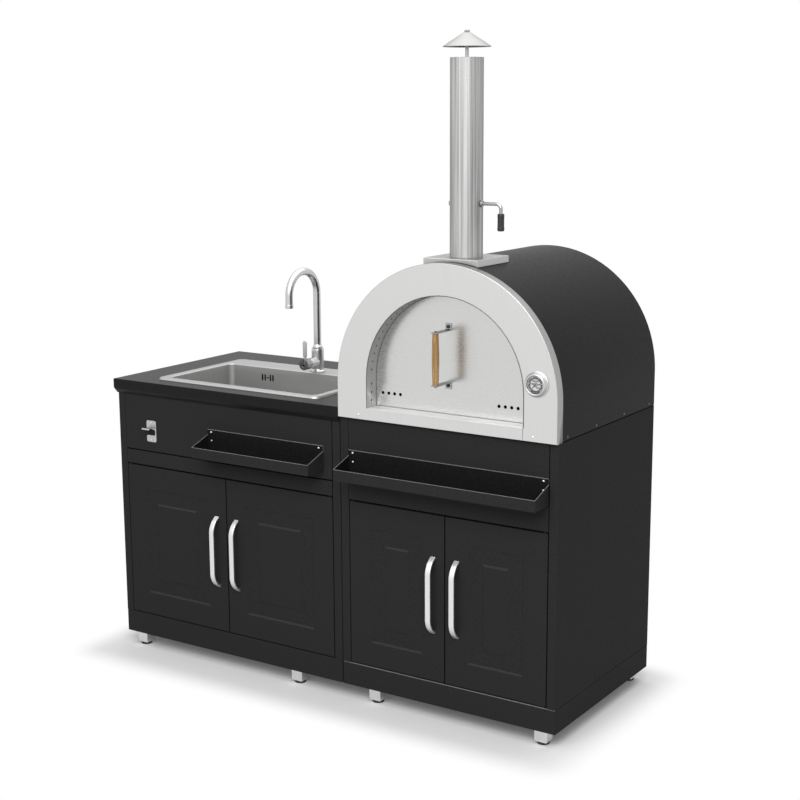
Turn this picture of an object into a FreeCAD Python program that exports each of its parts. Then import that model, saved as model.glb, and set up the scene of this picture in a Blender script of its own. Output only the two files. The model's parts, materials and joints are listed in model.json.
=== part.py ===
import FreeCAD, Part
import math
import os

V = FreeCAD.Vector

# Outdoor kitchen: a sink unit on the left and a wood-fired oven on its own unit on the right.
# All sizes are in millimetres. X runs to the right, Y to the back, Z up from the floor.

# Carcass of both units, in folded sheet
sink_unit_width = 880.0
oven_unit_width = 718.0
unit_gap = 2.0
cabinet_depth = 620.0
sheet = 1.5
post_width = 28.0
jamb_depth = 22.0
rear_flange = 20.0
panel_flange = 24.0
seam = 1.0
rail_height = 48.0
apron_height = 226.5
tray_panel_height = 148.0
fascia_height = 98.5

# Feet and base
pad_height = 8.0
pad_radius = 18.0
foot_show = 37.0
foot_side = 40.0
foot_wall = 2.0
foot_setback = 10.0
rear_foot_setback = 6.0
sink_outer_foot_inset = 54.0
sink_inner_foot_inset = 184.0
oven_inner_foot_inset = 107.0
oven_outer_foot_inset = 51.0
base_height = 72.0

# Cabinet doors, with their pivot pins
door_height = 500.0
door_depth = 20.0
door_end_gap = 3.0
door_side_gap = 2.5
door_middle_gap = 3.0
emboss_inset = 74.0
emboss_width = 52.0
emboss_depth = 3.0
pin_radius = 3.0
pin_edge_inset = 10.0
pin_setback = 5.0
pin_reach = 14.0
pin_head_radius = 5.0
pin_head_height = 2.0
running_clearance = 0.05
pivot_block_width = 18.0
pivot_block_depth = 11.0
pivot_block_height = 18.0

# Bow handles on the cabinet doors
handle_length = 232.0
handle_width = 17.0
handle_thickness = 7.0
handle_reach = 31.0
handle_slope = 24.0
handle_bend = 24.0
handle_edge_inset = 38.0
handle_rise = 10.0

# Trays on the front
tray_reach = 80.0
tray_rise = 26.0
tray_lip = 33.0
tray_cheek = 60.0
tray_back = 78.0
tray_side_gap = 1.0
sink_tray_width = 446.0
sink_tray_inset = 60.0
screw_radius = 4.0
screw_height = 2.5
screw_inset = 16.0
screw_pitch = 27.0
screw_drop = 9.0

# Bottle opener
opener_inset = 140.0
opener_rise = 69.0
opener_plate_width = 40.0
opener_plate_tall = 70.0
opener_plate_thickness = 3.0
opener_corner = 8.0
opener_mouth_radius = 12.0
opener_jaw_wall = 4.0
opener_jaw_reach = 22.0
opener_tooth_height = 4.0

# Worktop
worktop_overhang = 10.0
worktop_lip = 30.0
worktop_return = 16.0
fit_gap = 0.5

# Sink
sink_width = 640.0
sink_depth = 430.0
sink_setback = 52.0
sink_sheet = 1.2
rim_height = 5.0
rim_corner = 22.0
rim_chamfer = 3.0
bowl_width = 580.0
bowl_depth = 310.0
bowl_setback = 28.0
bowl_inside_height = 180.0
bowl_corner = 18.0
cutout_clearance = 4.0
overflow_offset = -132.0
overflow_drop = 35.0
slot_width = 4.0
slot_height = 18.0
slot_pitch = 12.0
slot_pair_pitch = 33.0

# Drain and its lift-out strainer
drain_radius = 43.0
drain_flange_radius = 55.0
drain_flange_height = 2.0
drain_depth = 52.0
drain_wall = 2.0
drain_seat_drop = 3.0
drain_seat_width = 3.0
outlet_radius = 19.0
outlet_length = 45.0
drain_nut_radius = 56.0
drain_nut_height = 12.0
strainer_gap = 0.6
strainer_depth = 30.0
strainer_wall = 1.0
strainer_hole_radius = 3.0
strainer_hole_circle = 22.0
strainer_hole_count = 8
strainer_knob_radius = 7.0
strainer_stem_radius = 3.0
strainer_stem_height = 34.0

# Mixer tap
tap_offset = 55.0
tap_setback = 30.0
tap_flange_radius = 25.0
tap_flange_height = 5.0
tap_radius = 20.0
tap_height = 78.0
tap_shank_radius = 14.0
inlet_radius = 10.5
inlet_length = 36.0
tap_nut_radius = 24.0
tap_nut_height = 8.0
barrel_radius = 17.0
barrel_height = 33.0
barrel_reach = 52.0
cap_radius = 18.0
cap_length = 26.0
cap_spigot_radius = 10.0
cap_spigot_length = 16.0
cap_gap = 0.5
lever_width = 14.0
lever_neck_width = 8.0
lever_neck_gap = 0.6
lever_thickness = 6.0
lever_length = 76.0
lever_pin_radius = 2.0
lever_pin_setback = 9.0
lever_slot_drop = 7.0
lever_tilt_room = 6.0
spout_radius = 12.0
spout_collar_radius = 16.0
spout_collar_height = 12.0
spout_spigot_radius = 13.0
spout_spigot_length = 22.0
spout_rise = 262.0
spout_bend = 74.0
spout_drop = 25.0
aerator_radius = 13.0
aerator_height = 12.0

# Oven shell: the hood, front and chamber spring from one line above the deck, the mouth from another
arch_spring = 108.0
mouth_spring = 121.0
face_inset = 3.0
face_front = 12.0
face_return = 26.0
face_overlap = 5.0
mouth_jamb = 57.0
sill_height = 36.0
throat_depth = 78.0
stop_width = 12.0
insulation_room = 47.0
chamber_rear_gap = 60.0
hearth_board_height = 10.0
hearth_stone_height = 26.0
stone_gap = 2.0
stone_columns = 2
stone_rows = 2
blanket_gap = 2.0
thermometer_inset = 61.0
thermometer_rise = 159.0

# Oven door
oven_door_recess = 50.0
oven_door_gap = 4.0
oven_door_sill_gap = 0.5
oven_door_depth = 22.0
vent_radius = 5.0
vent_pitch = 20.0
vent_count = 4
vent_edge_inset = 29.0
vent_rise = 40.0
grip_offset = -10.0
grip_radius = 10.5
grip_end_radius = 8.5
grip_length = 150.0
grip_reach = 70.0
grip_rise = 166.0
bracket_width = 20.0
bracket_sheet = 2.5
bracket_foot = 18.0
bracket_nose = 10.0
bolt_radius = 5.5
bolt_height = 4.0
bolt_inset = 8.5

# Chimney, rain cap and damper
pipe_radius = 46.5
pipe_wall = 1.5
pipe_setback = 115.0
pipe_show = 543.0
pipe_dip = 12.0
chimney_base_side = 175.0
chimney_base_height = 16.0
cap_cone_radius = 67.0
cap_cone_height = 40.0
cap_clear = 28.0
stem_radius = 5.0
stem_strap_width = 14.0
stem_strap_height = 3.0
stem_strap_drop = 30.0
stem_nut_radius = 8.0
stem_nut_height = 6.0
damper_rise = 148.0
damper_gap = 1.5
damper_thickness = 2.0
spindle_radius = 5.0
spindle_tail = 9.0
spindle_reach = 110.0
spindle_bend = 14.0
collar_radius = 9.0
collar_width = 6.0
collar_gap = 0.5
damper_arm = 26.0
damper_grip_radius = 10.0
damper_grip_length = 48.0
damper_grip_bore = 20.0

# Thermometer
bezel_radius = 36.0
bezel_height = 14.0
bezel_front_radius = 28.0
dial_radius = 25.0
dial_thickness = 1.0
dial_recess = 7.0
lens_thickness = 1.5
needle_hub_radius = 3.0
needle_length = 20.0
needle_width = 2.4
needle_thickness = 0.8
needle_lift = 0.8
needle_pivot_radius = 1.0
needle_pivot_length = 3.0
needle_rest_angle = 225.0
neck_radius = 8.0
neck_length = 14.0
probe_radius = 3.0
probe_length = 130.0

# Places worked out from the sizes: the origin is on the floor under the middle of the whole kitchen
total_width = worktop_overhang + sink_unit_width + unit_gap + oven_unit_width
sink_left = -total_width / 2 + worktop_overhang
sink_right = sink_left + sink_unit_width
sink_mid = (sink_left + sink_right) / 2
oven_left = sink_right + unit_gap
oven_right = oven_left + oven_unit_width
oven_mid = (oven_left + oven_right) / 2
front = -(cabinet_depth + worktop_overhang - tray_reach) / 2
back = front + cabinet_depth

base_bottom = pad_height + foot_show
floor_top = base_bottom + base_height
door_bottom = floor_top + door_end_gap
door_top = door_bottom + door_height
rail_bottom = door_top + door_end_gap
rail_top = rail_bottom + rail_height
tray_panel_top = rail_bottom + tray_panel_height
tray_bottom = rail_top + tray_rise
opener_height = rail_top + opener_rise
sink_carcass_top = rail_top + seam + apron_height
oven_carcass_top = tray_panel_top + seam + fascia_height
worktop_height = sink_carcass_top + sheet
deck_height = oven_carcass_top + sheet

rim_top = worktop_height + rim_height
sink_front = front + sink_setback
sink_back = sink_front + sink_depth
bowl_front = sink_front + bowl_setback
bowl_back = bowl_front + bowl_depth
bowl_middle = (bowl_front + bowl_back) / 2
bowl_floor = rim_top - bowl_inside_height
tap_x = sink_mid + tap_offset
tap_y = bowl_back + tap_setback
barrel_z = rim_top + barrel_height
cap_rear = tap_y - barrel_reach - cap_gap
cap_front = cap_rear - cap_length
lever_pin_y = cap_front + lever_pin_setback

arch_z = deck_height + arch_spring
mouth_z = deck_height + mouth_spring
hood_radius = oven_unit_width / 2
face_radius = hood_radius - face_inset
chamber_radius = hood_radius - insulation_room
opening_radius = chamber_radius - mouth_jamb
face_y = front - face_front
hood_front = face_y + face_return
sill_z = deck_height + sill_height
chamber_front = face_y + throat_depth
chamber_rear = back - chamber_rear_gap
board_top = deck_height + hearth_board_height
stone_top = board_top + hearth_stone_height
oven_door_y = face_y + oven_door_recess
oven_door_radius = opening_radius - oven_door_gap
oven_door_bottom = sill_z + oven_door_sill_gap
pipe_y = front + pipe_setback
chimney_base_top = arch_z + hood_radius + chimney_base_height / 2
pipe_bottom = arch_z + chamber_radius - pipe_dip
pipe_top = chimney_base_top + pipe_show
damper_height = chimney_base_top + damper_rise
cap_base = pipe_top + cap_clear
thermometer_x = oven_mid + face_radius - thermometer_inset
thermometer_z = deck_height + thermometer_rise


def block(x0, x1, y0, y1, z0, z1):
    return Part.makeBox(x1 - x0, y1 - y0, z1 - z0, V(x0, y0, z0))


def rod(radius, start, end):
    return Part.makeCylinder(radius, (end - start).Length, start, end - start)


def rounded_block(x0, x1, y0, y1, z0, z1, corner):
    """Block with its four upright edges rounded."""
    body = block(x0, x1, y0, y1, z0, z1)
    upright = [e for e in body.Edges if abs(e.tangentAt(e.FirstParameter).z) > 0.9]
    return body.makeFillet(corner, upright)


def prism(points, run):
    return Part.Face(Part.makePolygon(points + points[:1])).extrude(run)


def folded_sheet(fold_line, run):
    """Sheet bent along an open line, with its thickness on the inner side, run out along a vector."""
    profile = Part.makePolygon(fold_line).makeOffset2D(-sheet, join=2, fill=True, openResult=True)
    return profile.extrude(run)


def turned(profile, centre, axis, side):
    """Solid of revolution: profile points are (radius, height along the axis)."""
    points = [centre + side * r + axis * h for r, h in profile]
    return Part.Face(Part.makePolygon(points + points[:1])).revolve(centre, axis, 360)


def upright_turned(profile, centre):
    return turned(profile, centre, V(0, 0, 1), V(1, 0, 0))


def arch(radius, bottom, y0, y1, spring=arch_z):
    """Solid with a flat foot, upright sides and a half-round top on a spring line."""
    foot_left = V(oven_mid - radius, y0, bottom)
    spring_left = V(oven_mid - radius, y0, spring)
    crown = V(oven_mid, y0, spring + radius)
    spring_right = V(oven_mid + radius, y0, spring)
    foot_right = V(oven_mid + radius, y0, bottom)
    outline = Part.Wire([
        Part.makeLine(foot_left, spring_left),
        Part.Arc(spring_left, crown, spring_right).toShape(),
        Part.makeLine(spring_right, foot_right),
        Part.makeLine(foot_right, foot_left),
    ])
    return Part.Face(outline).extrude(V(0, y1 - y0, 0))


def arch_band(radius, wall, bottom, y0, y1):
    """Arch shell, open at both ends and underneath."""
    return arch(radius, bottom, y0, y1).cut(arch(radius - wall, bottom - sheet, y0 - sheet, y1 + sheet))


def mouth_arch(radius, bottom, y0, y1):
    return arch(radius, bottom, y0, y1, mouth_z)


def group(solids):
    return Part.makeCompound(solids)


def base_pan(left, right):
    """Cabinet floor with a skirt folded down all round, and holes for the lower pivot pins."""
    pan = block(left, right, front, back, base_bottom, floor_top)
    hollow = block(left + sheet, right - sheet, front + sheet, back - sheet,
                   base_bottom - sheet, floor_top - sheet)
    pan = pan.cut(hollow)
    y = front + pin_setback
    for x in pin_places(left, right):
        pan = pan.cut(rod(pin_radius, V(x, y, base_bottom), V(x, y, floor_top)))
    return pan


def side_panels(left, right, top):
    """Two folded side panels: the front fold is the post beside the doors, the rear fold takes the back."""
    fold_line = [
        V(left + rear_flange, back, floor_top),
        V(left, back, floor_top),
        V(left, front, floor_top),
        V(left + post_width, front, floor_top),
        V(left + post_width, front + jamb_depth, floor_top),
    ]
    left_panel = folded_sheet(fold_line, V(0, 0, top - floor_top))
    right_panel = left_panel.mirror(V((left + right) / 2, 0, 0), V(1, 0, 0))
    return group([left_panel, right_panel])


def back_panel(left, right, top):
    return block(left + sheet, right - sheet, back - 2 * sheet, back - sheet, floor_top, top)


def front_panel(left, right, bottom, top):
    """Panel between the posts, with its top and bottom edges folded back."""
    start = left + post_width + fit_gap
    end = right - post_width - fit_gap
    fold_line = [
        V(start, front + panel_flange, top),
        V(start, front, top),
        V(start, front, bottom),
        V(start, front + panel_flange, bottom),
    ]
    return folded_sheet(fold_line, V(end - start, 0, 0))


def door_header(left, right, top):
    """Front panel over the doors, drilled for the upper pivot pins."""
    panel = front_panel(left, right, rail_bottom, top)
    for x in pin_places(left, right):
        pin_line = V(x, front + pin_setback, rail_bottom)
        panel = panel.cut(rod(pin_radius, pin_line - V(0, 0, sheet), pin_line + V(0, 0, 2 * sheet)))
    return panel


def pin_places(left, right):
    inset = post_width + door_side_gap + pin_edge_inset
    return [left + inset, right - inset]


def hinge_pins():
    """Headed pivot pins, one above and one below each door."""
    pins = []
    for x in pin_places(sink_left, sink_right) + pin_places(oven_left, oven_right):
        y = front + pin_setback
        upper_seat = V(x, y, rail_bottom + sheet)
        upper = rod(pin_radius, V(x, y, door_top - pin_reach), upper_seat)
        upper_head = rod(pin_head_radius, upper_seat, upper_seat + V(0, 0, pin_head_height))
        lower_seat = V(x, y, floor_top - sheet)
        lower = rod(pin_radius, lower_seat, V(x, y, door_bottom + pin_reach))
        lower_head = rod(pin_head_radius, lower_seat - V(0, 0, pin_head_height), lower_seat)
        clear = block(x - pin_head_radius, x + pin_head_radius, front - pin_head_radius, front + sheet,
                      base_bottom, rail_top)
        pins += [upper.fuse(upper_head).cut(clear), lower.fuse(lower_head).cut(clear)]
    return group(pins)


def door_span(left, right, side):
    """Left and right edge of one door of a pair; side is -1 for the left door and 1 for the right."""
    middle = (left + right) / 2
    inner = middle + side * door_middle_gap / 2
    outer = (left if side < 0 else right) - side * (post_width + door_side_gap)
    return min(inner, outer), max(inner, outer)


def frame_wire(x0, x1, z0, z1, y):
    points = [V(x0, y, z0), V(x1, y, z0), V(x1, y, z1), V(x0, y, z1)]
    return Part.makePolygon(points + points[:1])


def frustum(x0, x1, z0, z1, y, depth, taper):
    """Flat block seen from the front, whose outline shrinks by taper over its depth."""
    near = frame_wire(x0, x1, z0, z1, y)
    far = frame_wire(x0 + taper, x1 - taper, z0 + taper, z1 - taper, y + depth)
    return Part.makeLoft([near, far], True, True)


def cabinet_door(left, right, side):
    """Folded door pan with a pressed panel line, and a drilled pivot block in both outer corners."""
    x0, x1 = door_span(left, right, side)
    pan = block(x0, x1, front, front + door_depth, door_bottom, door_top)
    hollow = block(x0 + sheet, x1 - sheet, front + sheet, front + door_depth + sheet,
                   door_bottom + sheet, door_top - sheet)
    pan = pan.cut(hollow)

    def field(inset, y, depth, taper):
        return frustum(x0 + inset, x1 - inset, door_bottom + inset, door_top - inset, y, depth, taper)

    def pressing(y, grow):
        depth = emboss_depth + grow
        outer = field(emboss_inset - grow, y, depth, emboss_depth)
        return outer.cut(field(emboss_inset + emboss_width + grow, y, depth, -emboss_depth))

    pan = pan.fuse(pressing(front + sheet / 2, sheet)).cut(pressing(front, 0))

    outer_edge = x0 if side < 0 else x1
    pivot_x = outer_edge - side * pin_edge_inset
    block_x = outer_edge - side * pivot_block_width
    near, far = sorted((outer_edge, block_x))
    bore = pin_radius + running_clearance
    pivot_y = front + pin_setback
    for end, inward in ((door_bottom, 1), (door_top, -1)):
        low, high = sorted((end, end + inward * pivot_block_height))
        pan = pan.fuse(block(near, far, front, front + pivot_block_depth, low, high))
        mouth = V(pivot_x, pivot_y, end - inward * sheet)
        pan = pan.cut(rod(bore, mouth, V(pivot_x, pivot_y, end + inward * (pin_reach + sheet))))
    return pan.removeSplitter()


def bow_handle(left, right, side):
    """Flat bow: a straight bar whose two ends slope back to the door, with rounded bends."""
    x0, x1 = door_span(left, right, side)
    free_edge = x1 if side < 0 else x0
    x = free_edge + side * handle_edge_inset - handle_width / 2
    middle = (door_bottom + door_top) / 2 + handle_rise
    half = handle_length / 2

    def bow(reach, inset, bend):
        slope = handle_slope * reach / handle_reach
        points = [
            V(x, front, middle - half + inset),
            V(x, front - reach, middle - half + inset + slope),
            V(x, front - reach, middle + half - inset - slope),
            V(x, front, middle + half - inset),
        ]
        body = prism(points, V(handle_width, 0, 0))
        bends = [e for e in body.Edges
                 if abs(e.tangentAt(e.FirstParameter).x) > 0.9 and e.CenterOfMass.y < front - reach / 2]
        return body.makeFillet(bend, bends)

    end_width = handle_thickness * math.hypot(handle_slope, handle_reach) / handle_reach
    inner = bow(handle_reach - handle_thickness, end_width, handle_bend - handle_thickness)
    return bow(handle_reach, 0, handle_bend).cut(inner)


def tray(x0, x1):
    """Folded trough screwed to the front: tall back, sloping cheeks and a low front lip."""
    reach = front - tray_reach
    cheeks = [
        V(x0, front, tray_bottom),
        V(x0, reach, tray_bottom),
        V(x0, reach, tray_bottom + tray_lip),
        V(x0, front, tray_bottom + tray_cheek),
    ]
    body = prism(cheeks, V(x1 - x0, 0, 0))
    top = tray_bottom + tray_back
    body = body.cut(block(x0 + sheet, x1 - sheet, reach + sheet, front - sheet, tray_bottom + sheet, top))
    return body.fuse(block(x0, x1, front - sheet, front, tray_bottom, top)).removeSplitter()


def tray_spans():
    sink_end = sink_right - sink_tray_inset
    inset = post_width + tray_side_gap
    return [(sink_end - sink_tray_width, sink_end), (oven_left + inset, oven_right - inset)]


def panel_screws():
    """Pan heads: two at each end of both trays, and two on the bottle opener."""
    heads = []
    z = tray_bottom + tray_back - screw_drop
    face = front - sheet
    for x0, x1 in tray_spans():
        for x in (x0 + screw_inset, x1 - screw_inset):
            heads += [screw_head(V(x, face, z)), screw_head(V(x, face, z - screw_pitch))]
    for z in opener_screw_heights():
        heads.append(screw_head(V(sink_left + opener_inset, front - opener_plate_thickness, z)))
    return group(heads)


def screw_head(seat):
    head = rod(screw_radius, seat, seat - V(0, screw_height, 0))
    rim = [e for e in head.Edges if e.BoundBox.YMax < seat.y - screw_height / 2]
    return head.makeFillet(screw_height / 2, rim)


def opener_screw_heights():
    reach = opener_plate_tall / 2 - opener_corner
    return [opener_height - reach, opener_height + reach]


def bottle_opener():
    """Wall plate with a hooded half-round jaw and a tooth under its mouth."""
    x = sink_left + opener_inset
    y = front - opener_plate_thickness
    half = opener_plate_width / 2
    tall = opener_plate_tall / 2
    plate = block(x - half, x + half, y, front, opener_height - tall, opener_height + tall)
    corners = [e for e in plate.Edges if abs(e.tangentAt(e.FirstParameter).y) > 0.9]
    plate = plate.makeFillet(opener_corner, corners)
    centre = V(x, front, opener_height)
    jaw = rod(opener_mouth_radius + opener_jaw_wall, centre, centre - V(0, opener_jaw_reach, 0))
    mouth = rod(opener_mouth_radius, centre - V(0, opener_plate_thickness, 0),
                centre - V(0, 2 * opener_jaw_reach, 0))
    below = block(x - half, x + half, y - opener_jaw_reach, y, opener_height - tall, opener_height)
    hood = jaw.cut(mouth).cut(below)
    tooth = prism([
        V(x - opener_mouth_radius, y, opener_height - opener_mouth_radius),
        V(x - opener_mouth_radius, y - opener_jaw_reach / 2, opener_height - opener_mouth_radius),
        V(x - opener_mouth_radius, y, opener_height - opener_mouth_radius - opener_tooth_height),
    ], V(2 * opener_mouth_radius, 0, 0))
    return plate.fuse(hood).fuse(tooth).removeSplitter()


def feet_places():
    """Centres of the eight feet on the floor."""
    columns = [sink_left + sink_outer_foot_inset, sink_right - sink_inner_foot_inset,
               oven_left + oven_inner_foot_inset, oven_right - oven_outer_foot_inset]
    rows = [front + foot_setback + foot_side / 2, back - rear_foot_setback - foot_side / 2]
    return [(x, y) for y in rows for x in columns]


def foot(x, y):
    """Square tube leg with a closed lower end, up to the underside of the cabinet floor."""
    half = foot_side / 2
    bore = half - foot_wall
    tube = block(x - half, x + half, y - half, y + half, pad_height, floor_top - sheet)
    return tube.cut(block(x - bore, x + bore, y - bore, y + bore, pad_height + foot_wall, floor_top))


def pad(x, y):
    return rod(pad_radius, V(x, y, 0), V(x, y, pad_height))


def worktop_form(grow):
    """Outer form of the worktop, or its hollow when grow is minus the sheet."""
    reach = worktop_overhang + grow
    hug = fit_gap + sheet + grow
    lip_z = worktop_height - worktop_lip
    return_z = lip_z - worktop_return

    def outline(distance, z):
        end = sink_right - grow
        points = [V(sink_left - distance, front - distance, z), V(end, front - distance, z),
                  V(end, back + distance, z), V(sink_left - distance, back + distance, z)]
        return Part.makePolygon(points + points[:1])

    upper = Part.Face(outline(reach, lip_z)).extrude(V(0, 0, worktop_lip + grow))
    lower = Part.makeLoft([outline(reach, lip_z), outline(hug, return_z)], True, True)
    return upper.fuse(lower)


def worktop():
    """Pressed top with lips that turn in under the edge, cut out for the bowl and drilled for the tap."""
    top = worktop_form(0).cut(worktop_form(-sheet))
    half = bowl_width / 2 + cutout_clearance
    cutout = rounded_block(sink_mid - half, sink_mid + half, bowl_front - cutout_clearance,
                           bowl_back + cutout_clearance, bowl_floor, rim_top, bowl_corner)
    shank = rod(tap_shank_radius + fit_gap, V(tap_x, tap_y, bowl_floor), V(tap_x, tap_y, rim_top))
    return top.cut(cutout).cut(shank).removeSplitter()


def bowl_form(grow):
    """Bowl with rounded upright corners and a rounded foot; grow sets the outer skin."""
    half = bowl_width / 2 + grow
    body = block(sink_mid - half, sink_mid + half, bowl_front - grow, bowl_back + grow,
                 bowl_floor - grow, rim_top)
    rounded = [e for e in body.Edges if e.BoundBox.ZMin < rim_top - fit_gap]
    return body.makeFillet(bowl_corner + grow, rounded)


def sink_bowl():
    """Pressed drop-in sink: raised rim, bowl, drain hole, tap hole and overflow slots."""
    half = sink_width / 2
    rim = rounded_block(sink_mid - half, sink_mid + half, sink_front, sink_back,
                        worktop_height, rim_top, rim_corner)
    top_edges = [e for e in rim.Edges if e.BoundBox.ZMin > rim_top - fit_gap]
    rim = rim.makeChamfer(rim_chamfer, top_edges)
    inner = half - rim_chamfer - sink_sheet
    inset = rim_chamfer + sink_sheet
    underside = rounded_block(sink_mid - inner, sink_mid + inner, sink_front + inset, sink_back - inset,
                              worktop_height, rim_top - sink_sheet, rim_corner)
    body = rim.cut(underside).fuse(bowl_form(sink_sheet)).cut(bowl_form(0))
    drain = V(sink_mid, bowl_middle, bowl_floor)
    body = body.cut(rod(drain_radius, drain - V(0, 0, bowl_corner), drain + V(0, 0, bowl_corner)))
    tap = V(tap_x, tap_y, worktop_height)
    body = body.cut(rod(tap_shank_radius + fit_gap, tap, tap + V(0, 0, rim_height)))
    slot_low = rim_top - overflow_drop - slot_height / 2
    for pair in (-1, 1):
        for place in (-1, 1):
            x = sink_mid + overflow_offset + (pair * slot_pair_pitch + place * slot_pitch - slot_width) / 2
            body = body.cut(block(x, x + slot_width, bowl_back - sink_sheet, bowl_back + 2 * sink_sheet,
                                  slot_low, slot_low + slot_height))
    return body


def drain_cup():
    """Turned waste: a flange in the bowl, a cup with a seat for the strainer, and an outlet tail."""
    inner = drain_radius - drain_wall
    seat = inner - drain_seat_width
    outlet = outlet_radius - drain_wall
    profile = [
        (inner, drain_flange_height), (drain_flange_radius, drain_flange_height), (drain_flange_radius, 0),
        (drain_radius, 0), (drain_radius, -drain_depth), (outlet_radius, -drain_depth),
        (outlet_radius, -drain_depth - outlet_length), (outlet, -drain_depth - outlet_length),
        (outlet, drain_wall - drain_depth), (seat, drain_wall - drain_depth), (seat, -drain_seat_drop),
        (inner, -drain_seat_drop),
    ]
    return upright_turned(profile, V(sink_mid, bowl_middle, bowl_floor))


def drain_nut():
    top = -sink_sheet
    low = top - drain_nut_height
    profile = [(drain_radius, top), (drain_nut_radius, top), (drain_nut_radius, low), (drain_radius, low)]
    return upright_turned(profile, V(sink_mid, bowl_middle, bowl_floor))


def strainer_basket():
    """Perforated cup that hangs by its rim on the seat of the waste and lifts out by its knob."""
    rim = drain_radius - drain_wall - strainer_gap
    wall = drain_radius - drain_wall - drain_seat_width - strainer_gap
    rim_low = strainer_gap / 2 - drain_seat_drop
    rim_high = rim_low + strainer_wall
    low = rim_low - strainer_depth
    inner = wall - strainer_wall
    knob_low = low + strainer_stem_height
    knob_high = knob_low + strainer_knob_radius
    profile = [
        (0, low), (wall, low), (wall, rim_low), (rim, rim_low), (rim, rim_high), (inner, rim_high),
        (inner, low + strainer_wall), (strainer_stem_radius, low + strainer_wall),
        (strainer_stem_radius, knob_low), (strainer_knob_radius, knob_low),
        (strainer_knob_radius, knob_high), (0, knob_high),
    ]
    drain = V(sink_mid, bowl_middle, bowl_floor)
    basket = upright_turned(profile, drain)
    through = V(0, 0, 2 * strainer_wall)
    for n in range(strainer_hole_count):
        angle = 2 * math.pi * n / strainer_hole_count
        place = drain + V(math.cos(angle), math.sin(angle), 0) * strainer_hole_circle + V(0, 0, low)
        basket = basket.cut(rod(strainer_hole_radius, place - through, place + through))
    return basket


def tap_body():
    """Column with a foot flange, a shank and a water inlet below, and a cartridge barrel to the front."""
    foot_z = V(tap_x, tap_y, rim_top)
    shank_end = sink_carcass_top - tap_nut_height - rim_top
    inlet_end = shank_end - inlet_length
    profile = [
        (0, inlet_end), (inlet_radius, inlet_end), (inlet_radius, shank_end), (tap_shank_radius, shank_end),
        (tap_shank_radius, 0), (tap_flange_radius, 0), (tap_flange_radius, tap_flange_height / 2),
        (tap_radius, tap_flange_height), (tap_radius, tap_height), (0, tap_height),
    ]
    body = upright_turned(profile, foot_z)
    barrel_start = V(tap_x, tap_y, barrel_z)
    barrel_end = barrel_start - V(0, barrel_reach, 0)
    body = body.fuse(rod(barrel_radius, barrel_start, barrel_end))
    cap_bore = cap_spigot_radius + running_clearance
    body = body.cut(rod(cap_bore, barrel_end + V(0, cap_spigot_length, 0), barrel_end))
    spout_bore = spout_spigot_radius + running_clearance
    column_top = foot_z + V(0, 0, tap_height)
    body = body.cut(rod(spout_bore, column_top - V(0, 0, spout_spigot_length), column_top))
    return body.removeSplitter()


def tap_nut():
    top = sink_carcass_top - rim_top
    low = top - tap_nut_height
    inner = tap_shank_radius
    profile = [(inner, top), (tap_nut_radius, top), (tap_nut_radius, low), (inner, low)]
    return upright_turned(profile, V(tap_x, tap_y, rim_top))


def tap_spout():
    """Swan neck: riser, half-circle bend to the front and a short drop, on a collar with a spigot."""
    column_top = V(tap_x, tap_y, rim_top + tap_height + cap_gap)
    spring = V(tap_x, tap_y, rim_top + spout_rise)
    crown = spring + V(0, -spout_bend, spout_bend)
    far = spring - V(0, 2 * spout_bend, 0)
    tip = far - V(0, 0, spout_drop)
    route = Part.Wire([
        Part.makeLine(column_top, spring),
        Part.Arc(spring, crown, far).toShape(),
        Part.makeLine(far, tip),
    ])
    section = Part.Wire(Part.makeCircle(spout_radius, column_top, V(0, 0, 1)))
    neck = route.makePipeShell([section], True, True)
    collar = Part.makeCone(spout_collar_radius, spout_radius, spout_collar_height, column_top)
    spigot = rod(spout_spigot_radius, column_top - V(0, 0, spout_spigot_length - cap_gap), column_top)
    return neck.fuse(collar).fuse(spigot).removeSplitter()


def tap_aerator():
    top = V(tap_x, tap_y - 2 * spout_bend, rim_top + spout_rise - spout_drop)
    return rod(aerator_radius, top - V(0, 0, aerator_height), top)


def tap_cap():
    """Cartridge cap on the barrel, slotted for the lever and drilled for its cross pin."""
    rear = V(tap_x, cap_rear, barrel_z)
    body = rod(cap_radius, rear, V(tap_x, cap_front, barrel_z))
    body = body.fuse(rod(cap_spigot_radius, rear, rear + V(0, cap_spigot_length - cap_gap, 0)))
    half = lever_neck_width / 2 + lever_neck_gap
    slot_rear = lever_pin_y + lever_thickness / 2 + lever_neck_gap
    slot = block(tap_x - half, tap_x + half, cap_front - sheet, slot_rear,
                 barrel_z - lever_slot_drop, barrel_z + cap_radius + sheet)
    body = body.cut(slot)
    bore = lever_pin_radius + running_clearance
    pivot = V(tap_x, lever_pin_y, barrel_z)
    across = V(cap_radius, 0, 0)
    return body.cut(rod(bore, pivot - across, pivot + across))


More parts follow.
